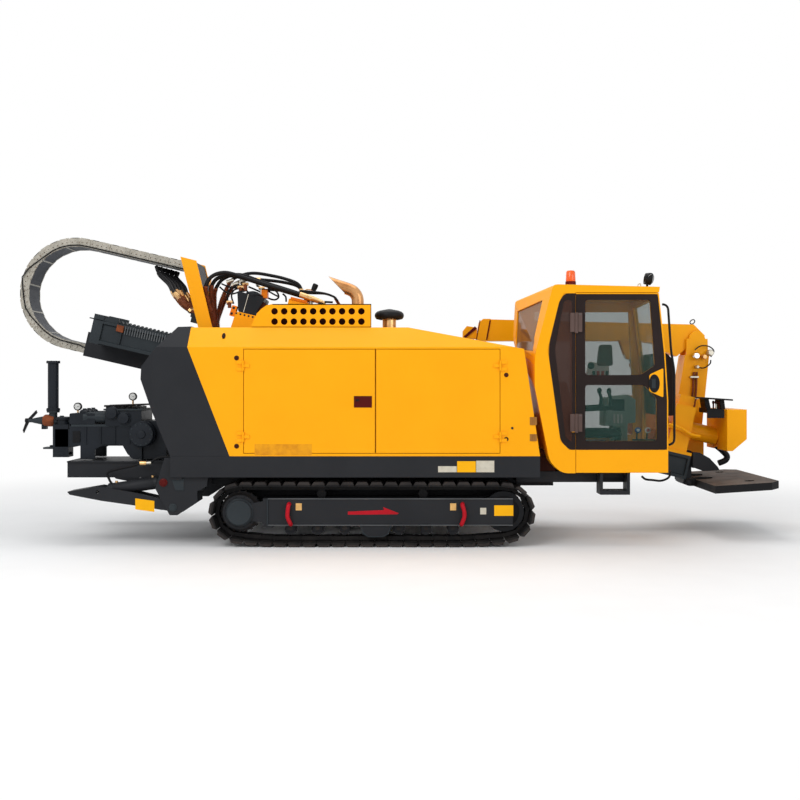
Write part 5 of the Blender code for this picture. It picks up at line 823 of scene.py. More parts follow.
def mud_pump():
    """The pump on the rear shelf: power end, fluid end, standpipe with flanges, gauges and a wing valve."""
    base = 0.9003
    form = Form("pump", "slate", "copper", "white", "black", "brass")
    frame_side = [(-3.42, 1.30), (-3.42, 1.06), (-3.30, 1.06), (-3.30, base + 0.012),
                  (-3.14, base + 0.012), (-3.14, 1.02), (-3.04, 1.075), (-2.84, 1.075), (-2.78, 0.97),
                  (-2.72, base + 0.012), (-2.62, base + 0.012), (-2.62, 1.30)]
    for y in (-0.74, -0.30):
        form.prism(frame_side, y, y + 0.03)
    form.box((-3.42, -2.64), (-0.73, -0.28), (1.06, 1.30))
    form.box((-3.40, -2.66), (-0.745, -0.265), (1.272, 1.296), 1)
    form.box((-3.38, -3.30), (-0.752, -0.72), (1.10, 1.22), 4)
    for x in (-3.24, -3.08, -2.92, -2.76):
        form.box((x, x + 0.012), (-0.752, -0.735), (1.08, 1.27))
    shell = rounded([(-3.02, 1.28), (-2.62, 1.28), (-2.62, 1.47), (-3.02, 1.47)], 0.035)
    form.prism(shell, -0.76, -0.26)
    form.box((-3.035, -2.605), (-0.775, -0.245), (1.452, 1.470), 1)
    for px, py in ((113, 413), (125, 418)):
        at = seen(px, py, -0.76)
        form.lathe([(0, 0.075), (0.012, 0.075), (0.020, 0.062), (0.045, 0.058), (0.05, 0.02)],
                   (at.x, -0.76, at.z), (0, -1, 0), 0, 32)
        form.bolt_ring((at.x, -0.772, at.z), (0, -1, 0), 0.066, 6, 0.006, 1)
    form.box((-2.66, -2.36), (-0.70, -0.30), (0.912, 1.336))
    cover = seen(141.8, 434.2, -0.83)
    form.lathe([(0, 0.145), (0.05, 0.145), (0.06, 0.134), (0.085, 0.130), (0.09, 0.05), (0.10, 0.045),
                (0.105, 0.01)], (cover.x, -0.745, cover.z), (0, -1, 0), 0, 48)
    form.bolt_ring((cover.x, -0.832, cover.z), (0, -1, 0), 0.116, 12, 0.008, 1)
    for index, y in enumerate((-0.68, -0.52, -0.36)):
        form.lathe([(0, 0.055), (0.03, 0.062), (0.20, 0.062), (0.22, 0.070), (0.25, 0.070)],
                   (-3.02, y, 1.375), (-1, 0, 0), 1 if index == 0 else 0, 24)
        form.lathe([(0, 0.05), (0.02, 0.055), (0.10, 0.055), (0.115, 0.04), (0.12, 0.01)],
                   (-3.27, y, 1.34), (0, 0, 1), 0, 20)
        form.bolt((-3.27, y, 1.455), (0, 0, 1), 0.022, 1)
    block = rounded([(-3.42, 1.28), (-3.14, 1.28), (-3.14, 1.42), (-3.42, 1.42)], 0.02)
    form.prism(block, -0.74, -0.30)
    form.box((-3.62, -3.40), (-0.62, -0.44), (1.04, 1.24))
    form.lathe([(0, 0.10), (0.03, 0.10), (0.032, 0.078), (0.39, 0.078), (0.392, 0.10), (0.42, 0.10)],
               (-3.55, -0.53, 0.95), (0, 0, 1))
    form.box((-3.76, -3.56), (-0.60, -0.46), (1.015, 1.035), 1)
    form.box((-3.70, -3.62), (-0.56, -0.50), (1.035, 1.055))
    standpipe(form)
    for px, py, y in ((78.8, 406.5, -0.52), (133.7, 396.5, -0.52)):
        at = seen(px, py, y)
        form.lathe([(0, 0.040), (0.004, 0.045), (0.035, 0.045), (0.038, 0.040)], (at.x, y + 0.02, at.z),
                   (0, -1, 0), 4)
        form.lathe([(0, 0.034), (0.002, 0.033)], (at.x, y - 0.0185, at.z), (0, -1, 0), 3)
        form.box((at.x - 0.002, at.x + 0.018), (y - 0.023, y - 0.0205), (at.z - 0.002, at.z + 0.002), 4)
        form.rod((at.x, y, at.z - 0.04), (at.x, y, at.z - 0.11), 0.010, 5, 10)
    rail = seen(108, 402.5, -0.5)
    form.tube([(rail.x, -0.62, 1.497), (-2.62, -0.62, 1.512)], 0.010, 4)
    form.tube([(rail.x, -0.40, 1.497), (-2.62, -0.40, 1.512)], 0.010, 4)
    for index in range(7):
        x = rail.x + 0.03 + index * 0.06
        form.box((x, x + 0.02), (-0.66, -0.36), (1.470, 1.495), 4)
    form.done("mud_pump_dressed", "machine", bevel=0.003, replaces=("mud_pump",))


def standpipe(form):
    """The upright vessel with its flanges, the pipe beneath and the valve with its wing handle."""
    x, y, level = -3.669, -0.53, 1.3315
    form.lathe([(0, 0.0745), (0.026, 0.0745), (0.028, 0.059), (0.531, 0.059), (0.533, 0.0745),
                (0.560, 0.0745), (0.562, 0.03)], (x, y, 1.441), (0, 0, 1), 0, 36)
    form.lathe([(0, 0.045), (0.13, 0.045), (0.132, 0.070), (0.150, 0.070)], (x, y, 1.290), (0, 0, 1), 1)
    form.bolt_ring((x, y, 1.467), (0, 0, 1), 0.066, 8, 0.006, 1)
    form.bolt_ring((x, y, 2.001), (0, 0, 1), 0.066, 8, 0.005, 1, 0.003)
    form.lathe([(0, 0.045), (0.10, 0.045), (0.105, 0.056), (0.14, 0.056), (0.145, 0.045), (0.20, 0.042)],
               (-3.45, y, level), (-1, 0, 0), 1)
    form.lathe([(0, 0.058), (0.02, 0.068), (0.105, 0.068), (0.125, 0.055)], (-3.650, y, level),
               (-1, 0, 0), 2)
    form.lathe([(0, 0.046), (0.02, 0.046), (0.10, 0.030), (0.13, 0.022), (0.20, 0.020)],
               (-3.775, y, level), (-1, 0, 0), 1, 24)
    form.box((-3.79, -3.74), (y - 0.035, y + 0.035), (1.235, 1.30))
    form.box((-3.645, -3.471), (y - 0.09, y + 0.09), (0.925, 1.29))
    hub = Vector((-3.95, y, level))
    form.lathe([(0, 0.026), (0.03, 0.026), (0.035, 0.015)], hub, (-1, 0, 0), 4, 16)
    for reach in ((0.090, 0.117), (-0.060, -0.110)):
        wing = [(hub.x - 0.02, hub.z), (hub.x + reach[0], hub.z + reach[1]),
                (hub.x + reach[0] + 0.012, hub.z + reach[1] - 0.03), (hub.x + 0.012, hub.z - 0.012)]
        form.prism(wing, y - 0.012, y + 0.012, 4)


# Hood


def hood():
    """The painted shell and doors, with their latch, locks and hinges."""
    dress("hood_shell", "yellow", 0.012, 3)
    dress("hood_door_rear", "yellow", 0.002)
    dress("hood_door_front", "yellow", 0.002)
    dress("rear_cowl", "dark", 0.010, 3)
    dress("engine_block", "pump", 0.01)
    face = HOOD_NEAR
    form = Form("maroon", "black", "rust", "dark")
    p, q = seen(354, 407.5, face), seen(372, 396, face)
    form.box((p.x, q.x), (face - 0.004, face + 0.001), (p.z, q.z))
    form.box((p.x + 0.02, p.x + 0.055), (face - 0.010, face), (q.z - 0.055, q.z - 0.035), 1)
    form.done("hood_door_latch", "hood_door_front", bevel=0.002)
    form = Form("rust", "black", "dark", "label_tan", "yellow")
    for px, py, rim, crown in ((237, 358, 0.026, 0.018), (237, 446, 0.026, 0.018),
                               (506, 375, 0.024, 0.017), (506, 439, 0.024, 0.017)):
        profile = [(0, rim), (0.003, rim), (0.005, crown), (0.006, 0.004)]
        form.lathe(profile, seen(px, py, face), (0, -1, 0), 0, 24)
    form.bolt(seen(512, 428, face), (0, -1, 0), 0.010, 2)
    form.done("hood_locks", "machine")
    hood_grip()
    hinges = Form("label_tan", "bronze")
    for top, low in ((417, 425), (434, 441)):
        p, q = seen(529.5, low, face), seen(536.5, top, face)
        hinges.box((p.x, p.x + (q.x - p.x) * 0.45), (face - 0.004, face + 0.002), (p.z, q.z), 1)
        hinges.box((p.x + (q.x - p.x) * 0.55, q.x), (face - 0.004, face + 0.002), (p.z, q.z), 1)
        hinges.rod(((p.x + q.x) / 2, face - 0.006, p.z), ((p.x + q.x) / 2, face - 0.006, q.z), 0.008, 1,
                   12)
    hinges.done("hood_side_hinges", "machine", bevel=0.001)
    strip = Form("strip")
    strip.panel((255, 312, 444, 455), face, face - 0.0012, face + 0.002)
    strip.done("hood_door_strip", "hood_door_rear")
    guard()
    muffler()


def hood_grip():
    """The oval grip on the chamfer of the hood."""
    form = Form("rust", "black")
    slope = math.atan2(0.22, 0.20)
    normal = Vector((0, -math.sin(slope), math.cos(slope)))
    up = Vector((0, math.cos(slope), math.sin(slope)))
    middle = Vector((seen(223.5, 335, HOOD_NEAR + 0.06).x, HOOD_NEAR + 0.11, 2.14 + 0.11 * 1.1))
    ring = []
    for index in range(24):
        angle = 2 * math.pi * index / 24
        ring.append(middle + Vector((0.019 * math.cos(angle), 0, 0)) + up * (0.042 * math.sin(angle)))
    form.loft([[point - normal * 0.002 for point in ring], [point + normal * 0.008 for point in ring]], 0)
    form.tube([middle - up * 0.03 + normal * 0.008, middle + up * 0.03 + normal * 0.012], 0.007, 1)
    form.done("hood_grip", "machine")


def guard():
    """The perforated screen, its holes flanged inwards."""
    low, high = HOOD_TOP, 2.616
    rear, front = -1.40, -0.085
    plane = -0.885
    outline = [(front, low), (front, high), (rear + 0.24, high), (rear + 0.175, high - 0.014),
               (rear + 0.122, high - 0.050), (rear + 0.072, high - 0.100), (rear + 0.045, high - 0.158),
               (rear, low)]
    form = Form("yellow")
    form.prism(outline, plane, plane + 0.010)
    item = form.done("guard_screen", "machine")
    cutters = []
    holes = [(-1.138 + 0.1052 * index, z) for z in (2.424, 2.536) for index in range(10)]
    for x, z in holes:
        hole = Form("yellow")
        hole.rod((x, plane - 0.05, z), (x, plane + 0.05, z), 0.037, 0, 32)
        cutters.append(hole.done("hole"))
    carve(item, cutters)
    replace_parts(item, "guard")
    trim = Form("yellow", "rust")
    trim.box((rear + 0.01, front), (plane, plane + 0.07), (low, low + 0.008))
    trim.box((rear + 0.24, front), (plane, plane + 0.09), (high - 0.010, high))
    trim.box((front - 0.006, front), (plane, plane + 0.09), (low, high))
    section = ((0.002, 0.0385), (0.016, 0.0385), (0.016, 0.0360), (0.002, 0.0360))
    for x, z in holes:
        trim.loft([circle((x, plane + depth, z), (0, 1, 0), radius, 24) for depth, radius in section],
                  closed=True)
    trim.done("guard_trim", "machine")


def muffler():
    """The silencer behind the screen, with the stack that turns rearward and its clamp."""
    form = Form("rust", "exhaust", "dark")
    form.lathe([(0, 0.06), (0.01, 0.105), (0.03, 0.118), (0.97, 0.118), (0.99, 0.105), (1.00, 0.06)],
               (-1.27, -0.66, 2.485), (1, 0, 0), 0, 36)
    for x in (-1.0, -0.5):
        form.box((x, x + 0.04), (-0.76, -0.56), (2.36, 2.40), 2)
    # A thin rust-red sheet just behind the screen fills its holes: painted shade, in the silencer's rust
    # colour.
    form.box((-1.24, -0.10), (-0.80, -0.79), (HOOD_TOP, 2.60))
    form.done("muffler", "machine")
    stack = Form("exhaust", "dark")
    y = -0.62
    route = smooth_path([(-0.24, y, 2.37), (-0.24, y, 2.50), (-0.24, y, 2.62), (-0.248, y, 2.71),
                         (-0.29, y, 2.772), (-0.36, y, 2.806), (-0.46, y, 2.838), (-0.62, y, 2.890)], 6)
    stack.tube(route, 0.0675, 0, 32)
    stack.lathe([(0, 0.10), (0.012, 0.10), (0.014, 0.074), (0.05, 0.074)], (-0.24, y, HOOD_TOP),
                (0, 0, 1), 0, 32)
    item = stack.done("exhaust_stack", "machine")
    inner = Form("dark")
    inner.tube(route[1:] + [Vector((-0.75, y, 2.932))], 0.0625, 0, 32)
    slash = Form("dark")
    slash.prism([(-0.575, 2.95), (-0.385, 2.755), (-0.6, 2.5), (-0.95, 2.8), (-0.9, 3.2), (-0.575, 3.2)],
                y - 0.2, y + 0.2)
    carve(item, [inner.done("bore"), slash.done("slash")])
    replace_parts(item, "exhaust")
    cap = Form("black", "brass", "dark")
    base = (0.11, -0.55, HOOD_TOP)
    cap.lathe([(0, 0.092), (0.010, 0.092), (0.012, 0.076), (0.10, 0.076), (0.105, 0.082), (0.118, 0.082)],
              base, (0, 0, 1), 1, 36)
    cap.lathe([(0.110, 0.09), (0.116, 0.150), (0.130, 0.161), (0.150, 0.165), (0.172, 0.160),
               (0.192, 0.140), (0.205, 0.105), (0.214, 0.060), (0.222, 0.02)], base, (0, 0, 1), 0, 48)
    for index in range(24):
        angle = 2 * math.pi * index / 24
        x, y = math.cos(angle), math.sin(angle)
        root = Vector(base) + Vector((x * 0.100, y * 0.100, 0.104))
        tip = Vector(base) + Vector((x * 0.150, y * 0.150, 0.116))
        cap.tube([root, tip], 0.005, 2, 6)
    cap.done("precleaner_bowl", "machine", replaces=("precleaner",))


# Cab


def cab():
    """The cab's paint and glass, and all that is fitted to it."""
    dress("cab_body", "yellow", 0.016, 3)
    dress("cab_door", "yellow", 0.006, 2)
    dress("glass_front", "glass")
    dress("glass_far", "glass")
    dress("glass_door", "glass")
    dress("glass_quarter", "quarter")
    dress("cab_step", "dark", 0.003)
    dress("seat", "cloth")
    dress("console", "console", 0.01)
    dress("work_lamp", "black", 0.002)
    side_window()
    door_dressing()
    cab_inside()
    cab_outside()


def side_window():
    """The fixed black-edged window behind the door."""
    outline = [(1.986, 2.713), (1.931, 2.62), (1.809, 2.116), (1.946, 1.132), (2.042, 1.041),
               (2.1060, 1.041), (2.1060, 2.713)]
    outline = rounded(outline, [0.10, 0.12, 0.16, 0.16, 0.12, 0.002, 0.002], 6)
    form = Form("band")
    form.prism(outline, CAB_NEAR - 0.001, CAB_NEAR + 0.008)
    item = form.done("glass_side_border", "machine")
    cut = Form("band")
    pane = rounded([(1.985, 2.64), (1.885, 2.12), (2.00, 1.17), (2.05, 1.13), (2.07, 1.13), (2.07, 2.64)],
                   0.03)
    cut.prism(pane, CAB_NEAR - 0.1, CAB_NEAR + 0.1)
    carve(item, [cut.done("cut")])
    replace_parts(item, "glass_side")
    glass = Form("tinted")
    glass.prism(pane, CAB_NEAR + 0.001, CAB_NEAR + 0.006)
    glass.done("glass_side_pane", "machine")


def door_dressing():
    """The black border round the door's panes, the lock panel and the hinges' covers and leaves."""
    outline = [(2.1115, 1.0405), (3.0845, 1.0405), (3.0845, 1.573), (3.0515, 2.087), (2.9855, 2.7055),
               (2.1115, 2.7055)]
    form = Form("band")
    form.prism(rounded(outline, [0.004, 0.03, 0.05, 0.05, 0.03, 0.004]), CAB_NEAR - 0.0005,
               CAB_NEAR + 0.009)
    item = form.done("door_border", "cab_door")
    upper = rounded([(2.21, 1.84), (2.80, 1.84), (2.955, 1.94), (2.905, 2.643), (2.21, 2.643)], 0.035)
    lower = rounded([(2.21, 1.134), (2.975, 1.134), (2.975, 1.594), (2.84, 1.733), (2.21, 1.733)], 0.035)
    cutters = []
    for pane in (upper, lower):
        cut = Form("band")
        cut.prism(pane, CAB_NEAR - 0.1, CAB_NEAR + 0.1)
        cutters.append(cut.done("cut"))
    carve(item, cutters)
    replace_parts(item, "door_band")
    lock = Form("yellow", "black", "slate")
    panel = rounded([(2.895, 1.845), (3.045, 1.915), (3.045, 1.600), (2.895, 1.665)], 0.02)
    lock.prism(panel, CAB_NEAR - 0.006, CAB_NEAR + 0.001)
    oval = []
    middle = seen(653.5, 383.5, CAB_NEAR)
    for index in range(32):
        angle = 2 * math.pi * index / 32
        oval.append((middle.x + 0.058 * math.cos(angle), middle.z + 0.098 * math.sin(angle)))
    lock.prism(oval, CAB_NEAR - 0.010, CAB_NEAR - 0.004, 1)
    lock.box((middle.x - 0.028, middle.x + 0.012), (CAB_NEAR - 0.016, CAB_NEAR - 0.008),
             (middle.z - 0.05, middle.z + 0.05), 2)
    lock.done("door_lock", "cab_door", bevel=0.0015)
    covers = Form("hinge", "edge")
    leaves = Form("hinge")
    for low, high in ((1.235, 1.425), (2.300, 2.505)):
        covers.rod((*DOOR_AXIS, low - 0.012), (*DOOR_AXIS, high + 0.002), 0.0185, 0, 32)
        plate = rounded([(2.1325, low), (2.175, low), (2.175, high), (2.1325, high)], 0.008)
        covers.prism(plate, CAB_NEAR - 0.025, CAB_NEAR + 0.001)
        covers.box((2.138, 2.169), (CAB_NEAR - 0.026, CAB_NEAR - 0.024), (high - 0.018, high - 0.012), 1)
        leaf = rounded([(2.048, low), (2.0935, low), (2.0935, high), (2.048, high)], 0.008)
        leaves.prism(leaf, CAB_NEAR - 0.025, CAB_NEAR + 0.001)
    covers.done("door_hinge_plates", "cab_door", bevel=0.001)
    leaves.done("cab_hinge_leaves", "machine", bevel=0.001)


def cab_inside():
    """The seat's base, its cushions with their seams, and the armrests with their levers."""
    floor = CAB_FLOOR
    base = Form("black", "slate", "cloth")
    base.prism(rounded([(2.24, -0.80), (2.56, -0.80), (2.56, -0.42), (2.24, -0.42)], 0.05), floor,
               floor + 0.12, 0, "Z")
    for index in range(5):
        z = floor + 0.12 + index * 0.03
        inset = 0.01 if index % 2 else 0.0
        base.box((2.26 + inset, 2.54 - inset), (-0.78 + inset, -0.44 - inset), (z, z + 0.03), 1)
    base.done("seat_base", "machine", bevel=0.003)
    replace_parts(cushion("seat_cushion", (2.14, 2.68), (-0.86, -0.36), floor + 0.28, 0.13), "seat")
    back = cushion("seat_back", (2.06, 2.66), (-0.84, -0.38), floor + 0.30, 0.13)
    turn = Matrix.Translation((2.12, 0, floor + 0.40)) @ Matrix.Rotation(math.radians(-98), 4, "Y")
    back.data.transform(turn @ Matrix.Translation((-2.10, 0, -(floor + 0.36))))
    arms = Form("cloth", "black", "white", "red", "slate")
    for y in (-0.90, -0.36):
        arms.prism(rounded([(2.18, floor + 0.60), (2.56, floor + 0.62), (2.56, floor + 0.67),
                            (2.18, floor + 0.65)], 0.02), y, y + 0.05, 1)
        arms.rod((2.20, y + 0.025, floor + 0.35), (2.20, y + 0.025, floor + 0.62), 0.015, 4)
        arms.tube(smooth_path([(2.52, y + 0.025, floor + 0.66), (2.53, y + 0.025, floor + 0.74),
                               (2.51, y + 0.025, floor + 0.80)]), 0.018, 1)
        arms.lathe([(0, 0.012), (0.015, 0.024), (0.05, 0.026), (0.07, 0.012)],
                   (2.51, y + 0.025, floor + 0.79), (0, 0, 1), 1, 16)
    arms.done("seat_arms", "machine", bevel=0.003)
    controls()


def cushion(name, x, y, low, thick):
    """A crowned cushion whose sides pull in between its corners."""
    mesh = bmesh.new()
    steps = 14
    middle = Vector(((x[0] + x[1]) / 2, (y[0] + y[1]) / 2, low + thick / 2))
    half = Vector(((x[1] - x[0]) / 2, (y[1] - y[0]) / 2, thick / 2))
    grid = {}
    for top in (0, 1):
        for i in range(steps + 1):
            for j in range(steps + 1):
                a, b = 2 * i / steps - 1, 2 * j / steps - 1
                edge = max(abs(a), abs(b))
                if edge == 1 and top:
                    grid[(i, j, 1)] = grid[(i, j, 0)]
                    continue
                pull = 1 - 0.06 * (1 - b * b) * abs(a) ** 6 - 0.06 * (1 - a * a) * abs(b) ** 6
                swell = (1 - abs(a) ** 5) ** 0.45 * (1 - abs(b) ** 5) ** 0.45
                across = math.exp(-((abs(b) - 0.55) ** 2) / 0.0016)
                seam = 0.10 * (across + math.exp(-((abs(a) - 0.34) ** 2) / 0.0016))
                rise = (swell - seam * swell) * (1 if top else -0.6)
                place = middle + Vector((a * half.x * pull, b * half.y * pull, rise * half.z))
                grid[(i, j, top)] = mesh.verts.new(place)
    for top in (0, 1):
        for i in range(steps):
            for j in range(steps):
                corners = [grid[(i, j, top)], grid[(i + 1, j, top)], grid[(i + 1, j + 1, top)],
                           grid[(i, j + 1, top)]]
                mesh.faces.new(corners if top else corners[::-1])
    bmesh.ops.recalc_face_normals(mesh, faces=mesh.faces)
    data = bpy.data.meshes.new(name)
    mesh.to_mesh(data)
    mesh.free()
    data.materials.append(FINISHES["cloth"])
    data.shade_smooth()
    item = placed(name, data)
    fine = item.modifiers.new("fine", "SUBSURF")
    fine.levels = 1
    fine.render_levels = 1
    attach(item, "machine")
    return item


def controls():
    """The console's levers, knobs and screen, and the pale boxes that show through the glass."""
    form = Form("console", "black", "white", "red", "blue", "slate", "hinge")
    form.prism(rounded([(2.54, 1.27), (2.80, 1.27), (2.77, 1.61), (2.59, 1.61)], 0.02), -0.50, -0.42)
    form.box((2.62, 2.76), (-0.505, -0.50), (1.44, 1.57), 5)
    for x in (2.635, 2.675, 2.715):
        form.box((x, x + 0.022), (-0.51, -0.50), (1.30, 1.40), 2)
    form.box((2.655, 2.725), (-0.48, -0.44), (CAB_FLOOR, 1.25), 5)
    panel = rounded([(2.36, 1.82), (2.62, 1.79), (2.62, 1.95), (2.40, 2.00)], 0.02)
    form.prism(panel, -0.34, -0.26, 2)
    form.lathe([(0, 0.035), (0.01, 0.04), (0.02, 0.03)], (2.41, -0.345, 1.95), (0, -1, 0), 1, 24)
    for x, finish in ((2.43, 1), (2.48, 3), (2.53, 3), (2.58, 1)):
        form.box((x, x + 0.03), (-0.352, -0.338), (1.84, 1.89), finish)
    form.prism(rounded([(2.48, 1.95), (2.66, 1.95), (2.65, 2.19), (2.51, 2.19)], 0.03), -0.36, -0.30, 6)
    for px, py, finish in ((637, 430, 4), (647, 430, 2)):
        at = seen(px, py, -0.92)
        form.lathe([(0, 0.030), (0.012, 0.034), (0.02, 0.02)], (at.x, -0.92, at.z), (0, -1, 0), finish,
                   24)
        form.lathe([(0.02, 0.018), (0.03, 0.015)], (at.x, -0.92, at.z), (0, -1, 0),
                   3 if finish == 2 else 2, 20)
        form.rod((at.x, -0.90, at.z), (at.x, -0.86, at.z - 0.16), 0.010, 1, 10)
    form.box((2.78, 3.00), (-0.95, -0.80), (1.10, 1.14), 5)
    form.done("cab_controls", "machine", bevel=0.002)


def cab_outside():
    """The bowed lower window, the grab rail, the lamps and the hose under the cab."""
    rail = Form("black")
    y = -1.018
    route = rounded([(2.955, 2.605), (3.115, 2.600), (3.150, 2.10), (3.185, 1.88), (3.185, 1.10),
                     (3.055, 1.075)], 0.06, 6)
    rail.tube([(px, y, pz) for px, pz in route[7:-7]], 0.0125, 0, 16)
    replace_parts(rail.done("grab_rail_bar", "machine"), "grab_rail")
    bow = Form("band")
    side = [(3.085, 1.40), (3.205, 1.40), (3.210, 1.90), (3.190, 2.00), (3.120, 2.08), (3.055, 2.08)]
    bow.prism(rounded(side, [0.002, 0.01, 0.06, 0.06, 0.03, 0.002]), -0.96, -0.14)
    bow.done("lower_window_bow", "machine", bevel=0.003)
    light = Form("amber", "maroon")
    foot = seen(570.2, 283.0, -0.84)
    light.lathe([(-0.02, 0.058), (0.012, 0.058), (0.014, 0.050)], foot, (0, 0, 1), 1, 32)
    light.lathe([(0.012, 0.052), (0.020, 0.054), (0.115, 0.050), (0.130, 0.040), (0.136, 0.015)], foot,
                (0, 0, 1), 0, 32)
    light.done("beacon_lens", "machine", replaces=("beacon",))
    lamps = Form("black", "lens", "amber", "zinc")
    x, y, z = 2.93, -0.90, 2.885
    head, ahead = (x - 0.02, y + 0.03, z + 0.015), (0.62, -0.76, -0.20)
    lamps.lathe([(0, 0.030), (0.02, 0.058), (0.05, 0.064), (0.066, 0.064), (0.070, 0.056)], head, ahead,
                0, 32)
    lamps.lathe([(0.071, 0.052), (0.074, 0.051)], head, ahead, 1, 32)
    lamps.tube(smooth_path([(2.80, -0.97, 2.80), (2.81, -0.97, 2.825), (2.83, -0.97, 2.825),
                            (2.835, -0.97, 2.80)]), 0.006, 3, 10)
    lamps.done("roof_lamp_head", "machine")
    under = Form("hose", "brass")
    bend = [(641, 476), (645, 479), (652, 479.8), (660, 480.5), (667, 478), (669.5, 474), (669.5, 471)]
    route = smooth_path([seen(px, py, -0.75) for px, py in bend], 5)
    under.tube(route, 0.012)
    under.done("under_cab_hose", "machine")


# Mast


def chain_line():
    """The chain's middle line at every link, from its fixed end to its moving end."""
    top = CHAIN_LOW_W + 2 * CHAIN_RADIUS
    runs = [CHAIN_FIXED_END - CHAIN_BEND_U, math.pi * CHAIN_RADIUS, CHAIN_MOVING_END - CHAIN_BEND_U]
    count = round(sum(runs) / CHAIN_PITCH)
    line = []
    for index in range(count + 1):
        s = index * sum(runs) / count
        if s <= runs[0]:
            line.append((Vector((CHAIN_FIXED_END - s, CHAIN_LOW_W)), Vector((0.0, 1.0)), "low"))
        elif s <= runs[0] + runs[1]:
            angle = (s - runs[0]) / CHAIN_RADIUS
            inward = Vector((math.sin(angle), math.cos(angle)))
            center = Vector((CHAIN_BEND_U, CHAIN_LOW_W + CHAIN_RADIUS))
            line.append((center - inward * CHAIN_RADIUS, inward, "bend"))
        else:
            line.append((Vector((CHAIN_BEND_U + s - runs[0] - runs[1], top)), Vector((0.0, -1.0)),
                         "high"))
    return line


def drag_chain():
    """The cable chain in three stretches: its low run, its bend and its high run."""
    line = chain_line()
    finishes = ("chain", "stay", "inner_plate", "hose", "rust")
    forms = {part: Form(*finishes, place=mast) for part in ("low", "bend", "high")}
    half = CHAIN_HEIGHT / 2
    for index, ((p, n, part), (q, m, _)) in enumerate(zip(line, line[1:])):
        form = forms[part]
        ahead = (q - p).normalized()
        inward = ((n + m) / 2).normalized()
        middle = (p + q) / 2

        def at(a, b, y):
            point = middle + ahead * a * CHAIN_PITCH + inward * b * half
            return (point.x, y, point.y)

        def plate(outline, low, high, finish):
            form.loft([[at(a, b, y) for a, b in outline] for y in (low, high)], finish)

        step = 0.010 if index % 2 else 0.0
        bone = [(-0.62, -0.55), (-0.46, -0.96), (0.40, -0.96), (0.50, -0.80), (0.50, 0.80), (0.40, 0.96),
                (-0.46, 0.96), (-0.62, 0.55)]
        for y in (CHAIN_NEAR, CHAIN_FAR - 0.03):
            plate(bone, y + step, y + step + 0.019, 0)
            boss = arc((0.02, 0.0), 0.30, 0, 360 - 30, 11)
            plate([(a * 0.9, b * 2.0) for a, b in boss], y - 0.004 + step, y + step + 0.001, 0)
        for a in (-0.30, 0.18):
            dot = middle + ahead * a * CHAIN_PITCH
            center = (dot.x, CHAIN_NEAR + step, dot.y)
            form.lathe([(-0.004, 0.006), (0.002, 0.006)], center, (0, 1, 0), 4, 8)
        if index % 3 == 0:
            plate([(-0.07, 0.88), (-0.07, 0.98), (0.07, 0.98), (0.07, 0.88)], CHAIN_NEAR + 0.01,
                  CHAIN_FAR - 0.01, 1)
        plate([(-0.30, -0.97), (-0.30, -0.84), (0.30, -0.84), (0.30, -0.97)], CHAIN_NEAR + 0.01,
              CHAIN_FAR - 0.01, 1)
        plate([(-0.50, 0.84), (-0.50, 0.92), (0.50, 0.92), (0.50, 0.84)], CHAIN_NEAR + 0.032,
              CHAIN_FAR - 0.002, 2)
        for lane in range(4):
            y = CHAIN_NEAR + 0.075 + lane * 0.085
            radius = 0.026 if lane % 2 else 0.020
            angles = [2 * math.pi * i / 8 for i in range(8)]
            ring = [(math.cos(t) * radius, math.sin(t) * radius) for t in angles]
            rows = []
            for end, normal in ((p, n), (q, m)):
                spot = end - normal * 0.012
                rows.append([(spot.x + normal.x * b, y + a, spot.y + normal.y * b) for a, b in ring])
            form.loft(rows, 3)
        lash(form, p, n, q, m, index)
    blends = {
        "low": (mast(-3.0, 0, 0), mast(-8.6, 0, 0)),
        "bend": (Vector((0, -500.0, 0)), Vector((0, 501.69, 0))),
        "high": (mast(-7.2, 0, 0), mast(-4.4, 0, 0)),
    }
    for part, form in forms.items():
        item = form.done("drag_chain_" + part)
        start, end = blends[part]
        tuple(end)
        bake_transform(item)
        if part == "low":
            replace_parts(item, "drag_chain")


# The thin cable on the chain's near side: link, then its way inwards
LASH = ((0, -0.04), (17, -0.045), (19.4, -0.05), (20.4, 0.03), (23.8, 0.036), (26.2, 0.042), (28, -0.004),
        (29.7, -0.001), (30.7, -0.05), (31.4, -0.05), (32.5, 0.012), (33.7, 0.045), (35.7, 0.04),
        (60, 0.045))


def lash(form, p, n, q, m, index):
    """The thin cable that weaves along the chain's near side, laid link by link."""
    radius = 0.008

    def height(place):
        for (start, low), (end, high) in zip(LASH, LASH[1:]):
            if place <= end:
                return low + (high - low) * (place - start) / (end - start)
        return LASH[-1][1]

    rows = []
    for end, normal, place in ((p, n, index), (q, m, index + 1)):
        spot = end + normal * height(place)
        ring = []
        for i in range(8):
            t = 2 * math.pi * i / 8
            b = math.sin(t) * radius
            ring.append((spot.x + normal.x * b, CHAIN_NEAR - 0.012 + math.cos(t) * radius,
                         spot.y + normal.y * b))
        rows.append(ring)
    form.loft(rows, 3)


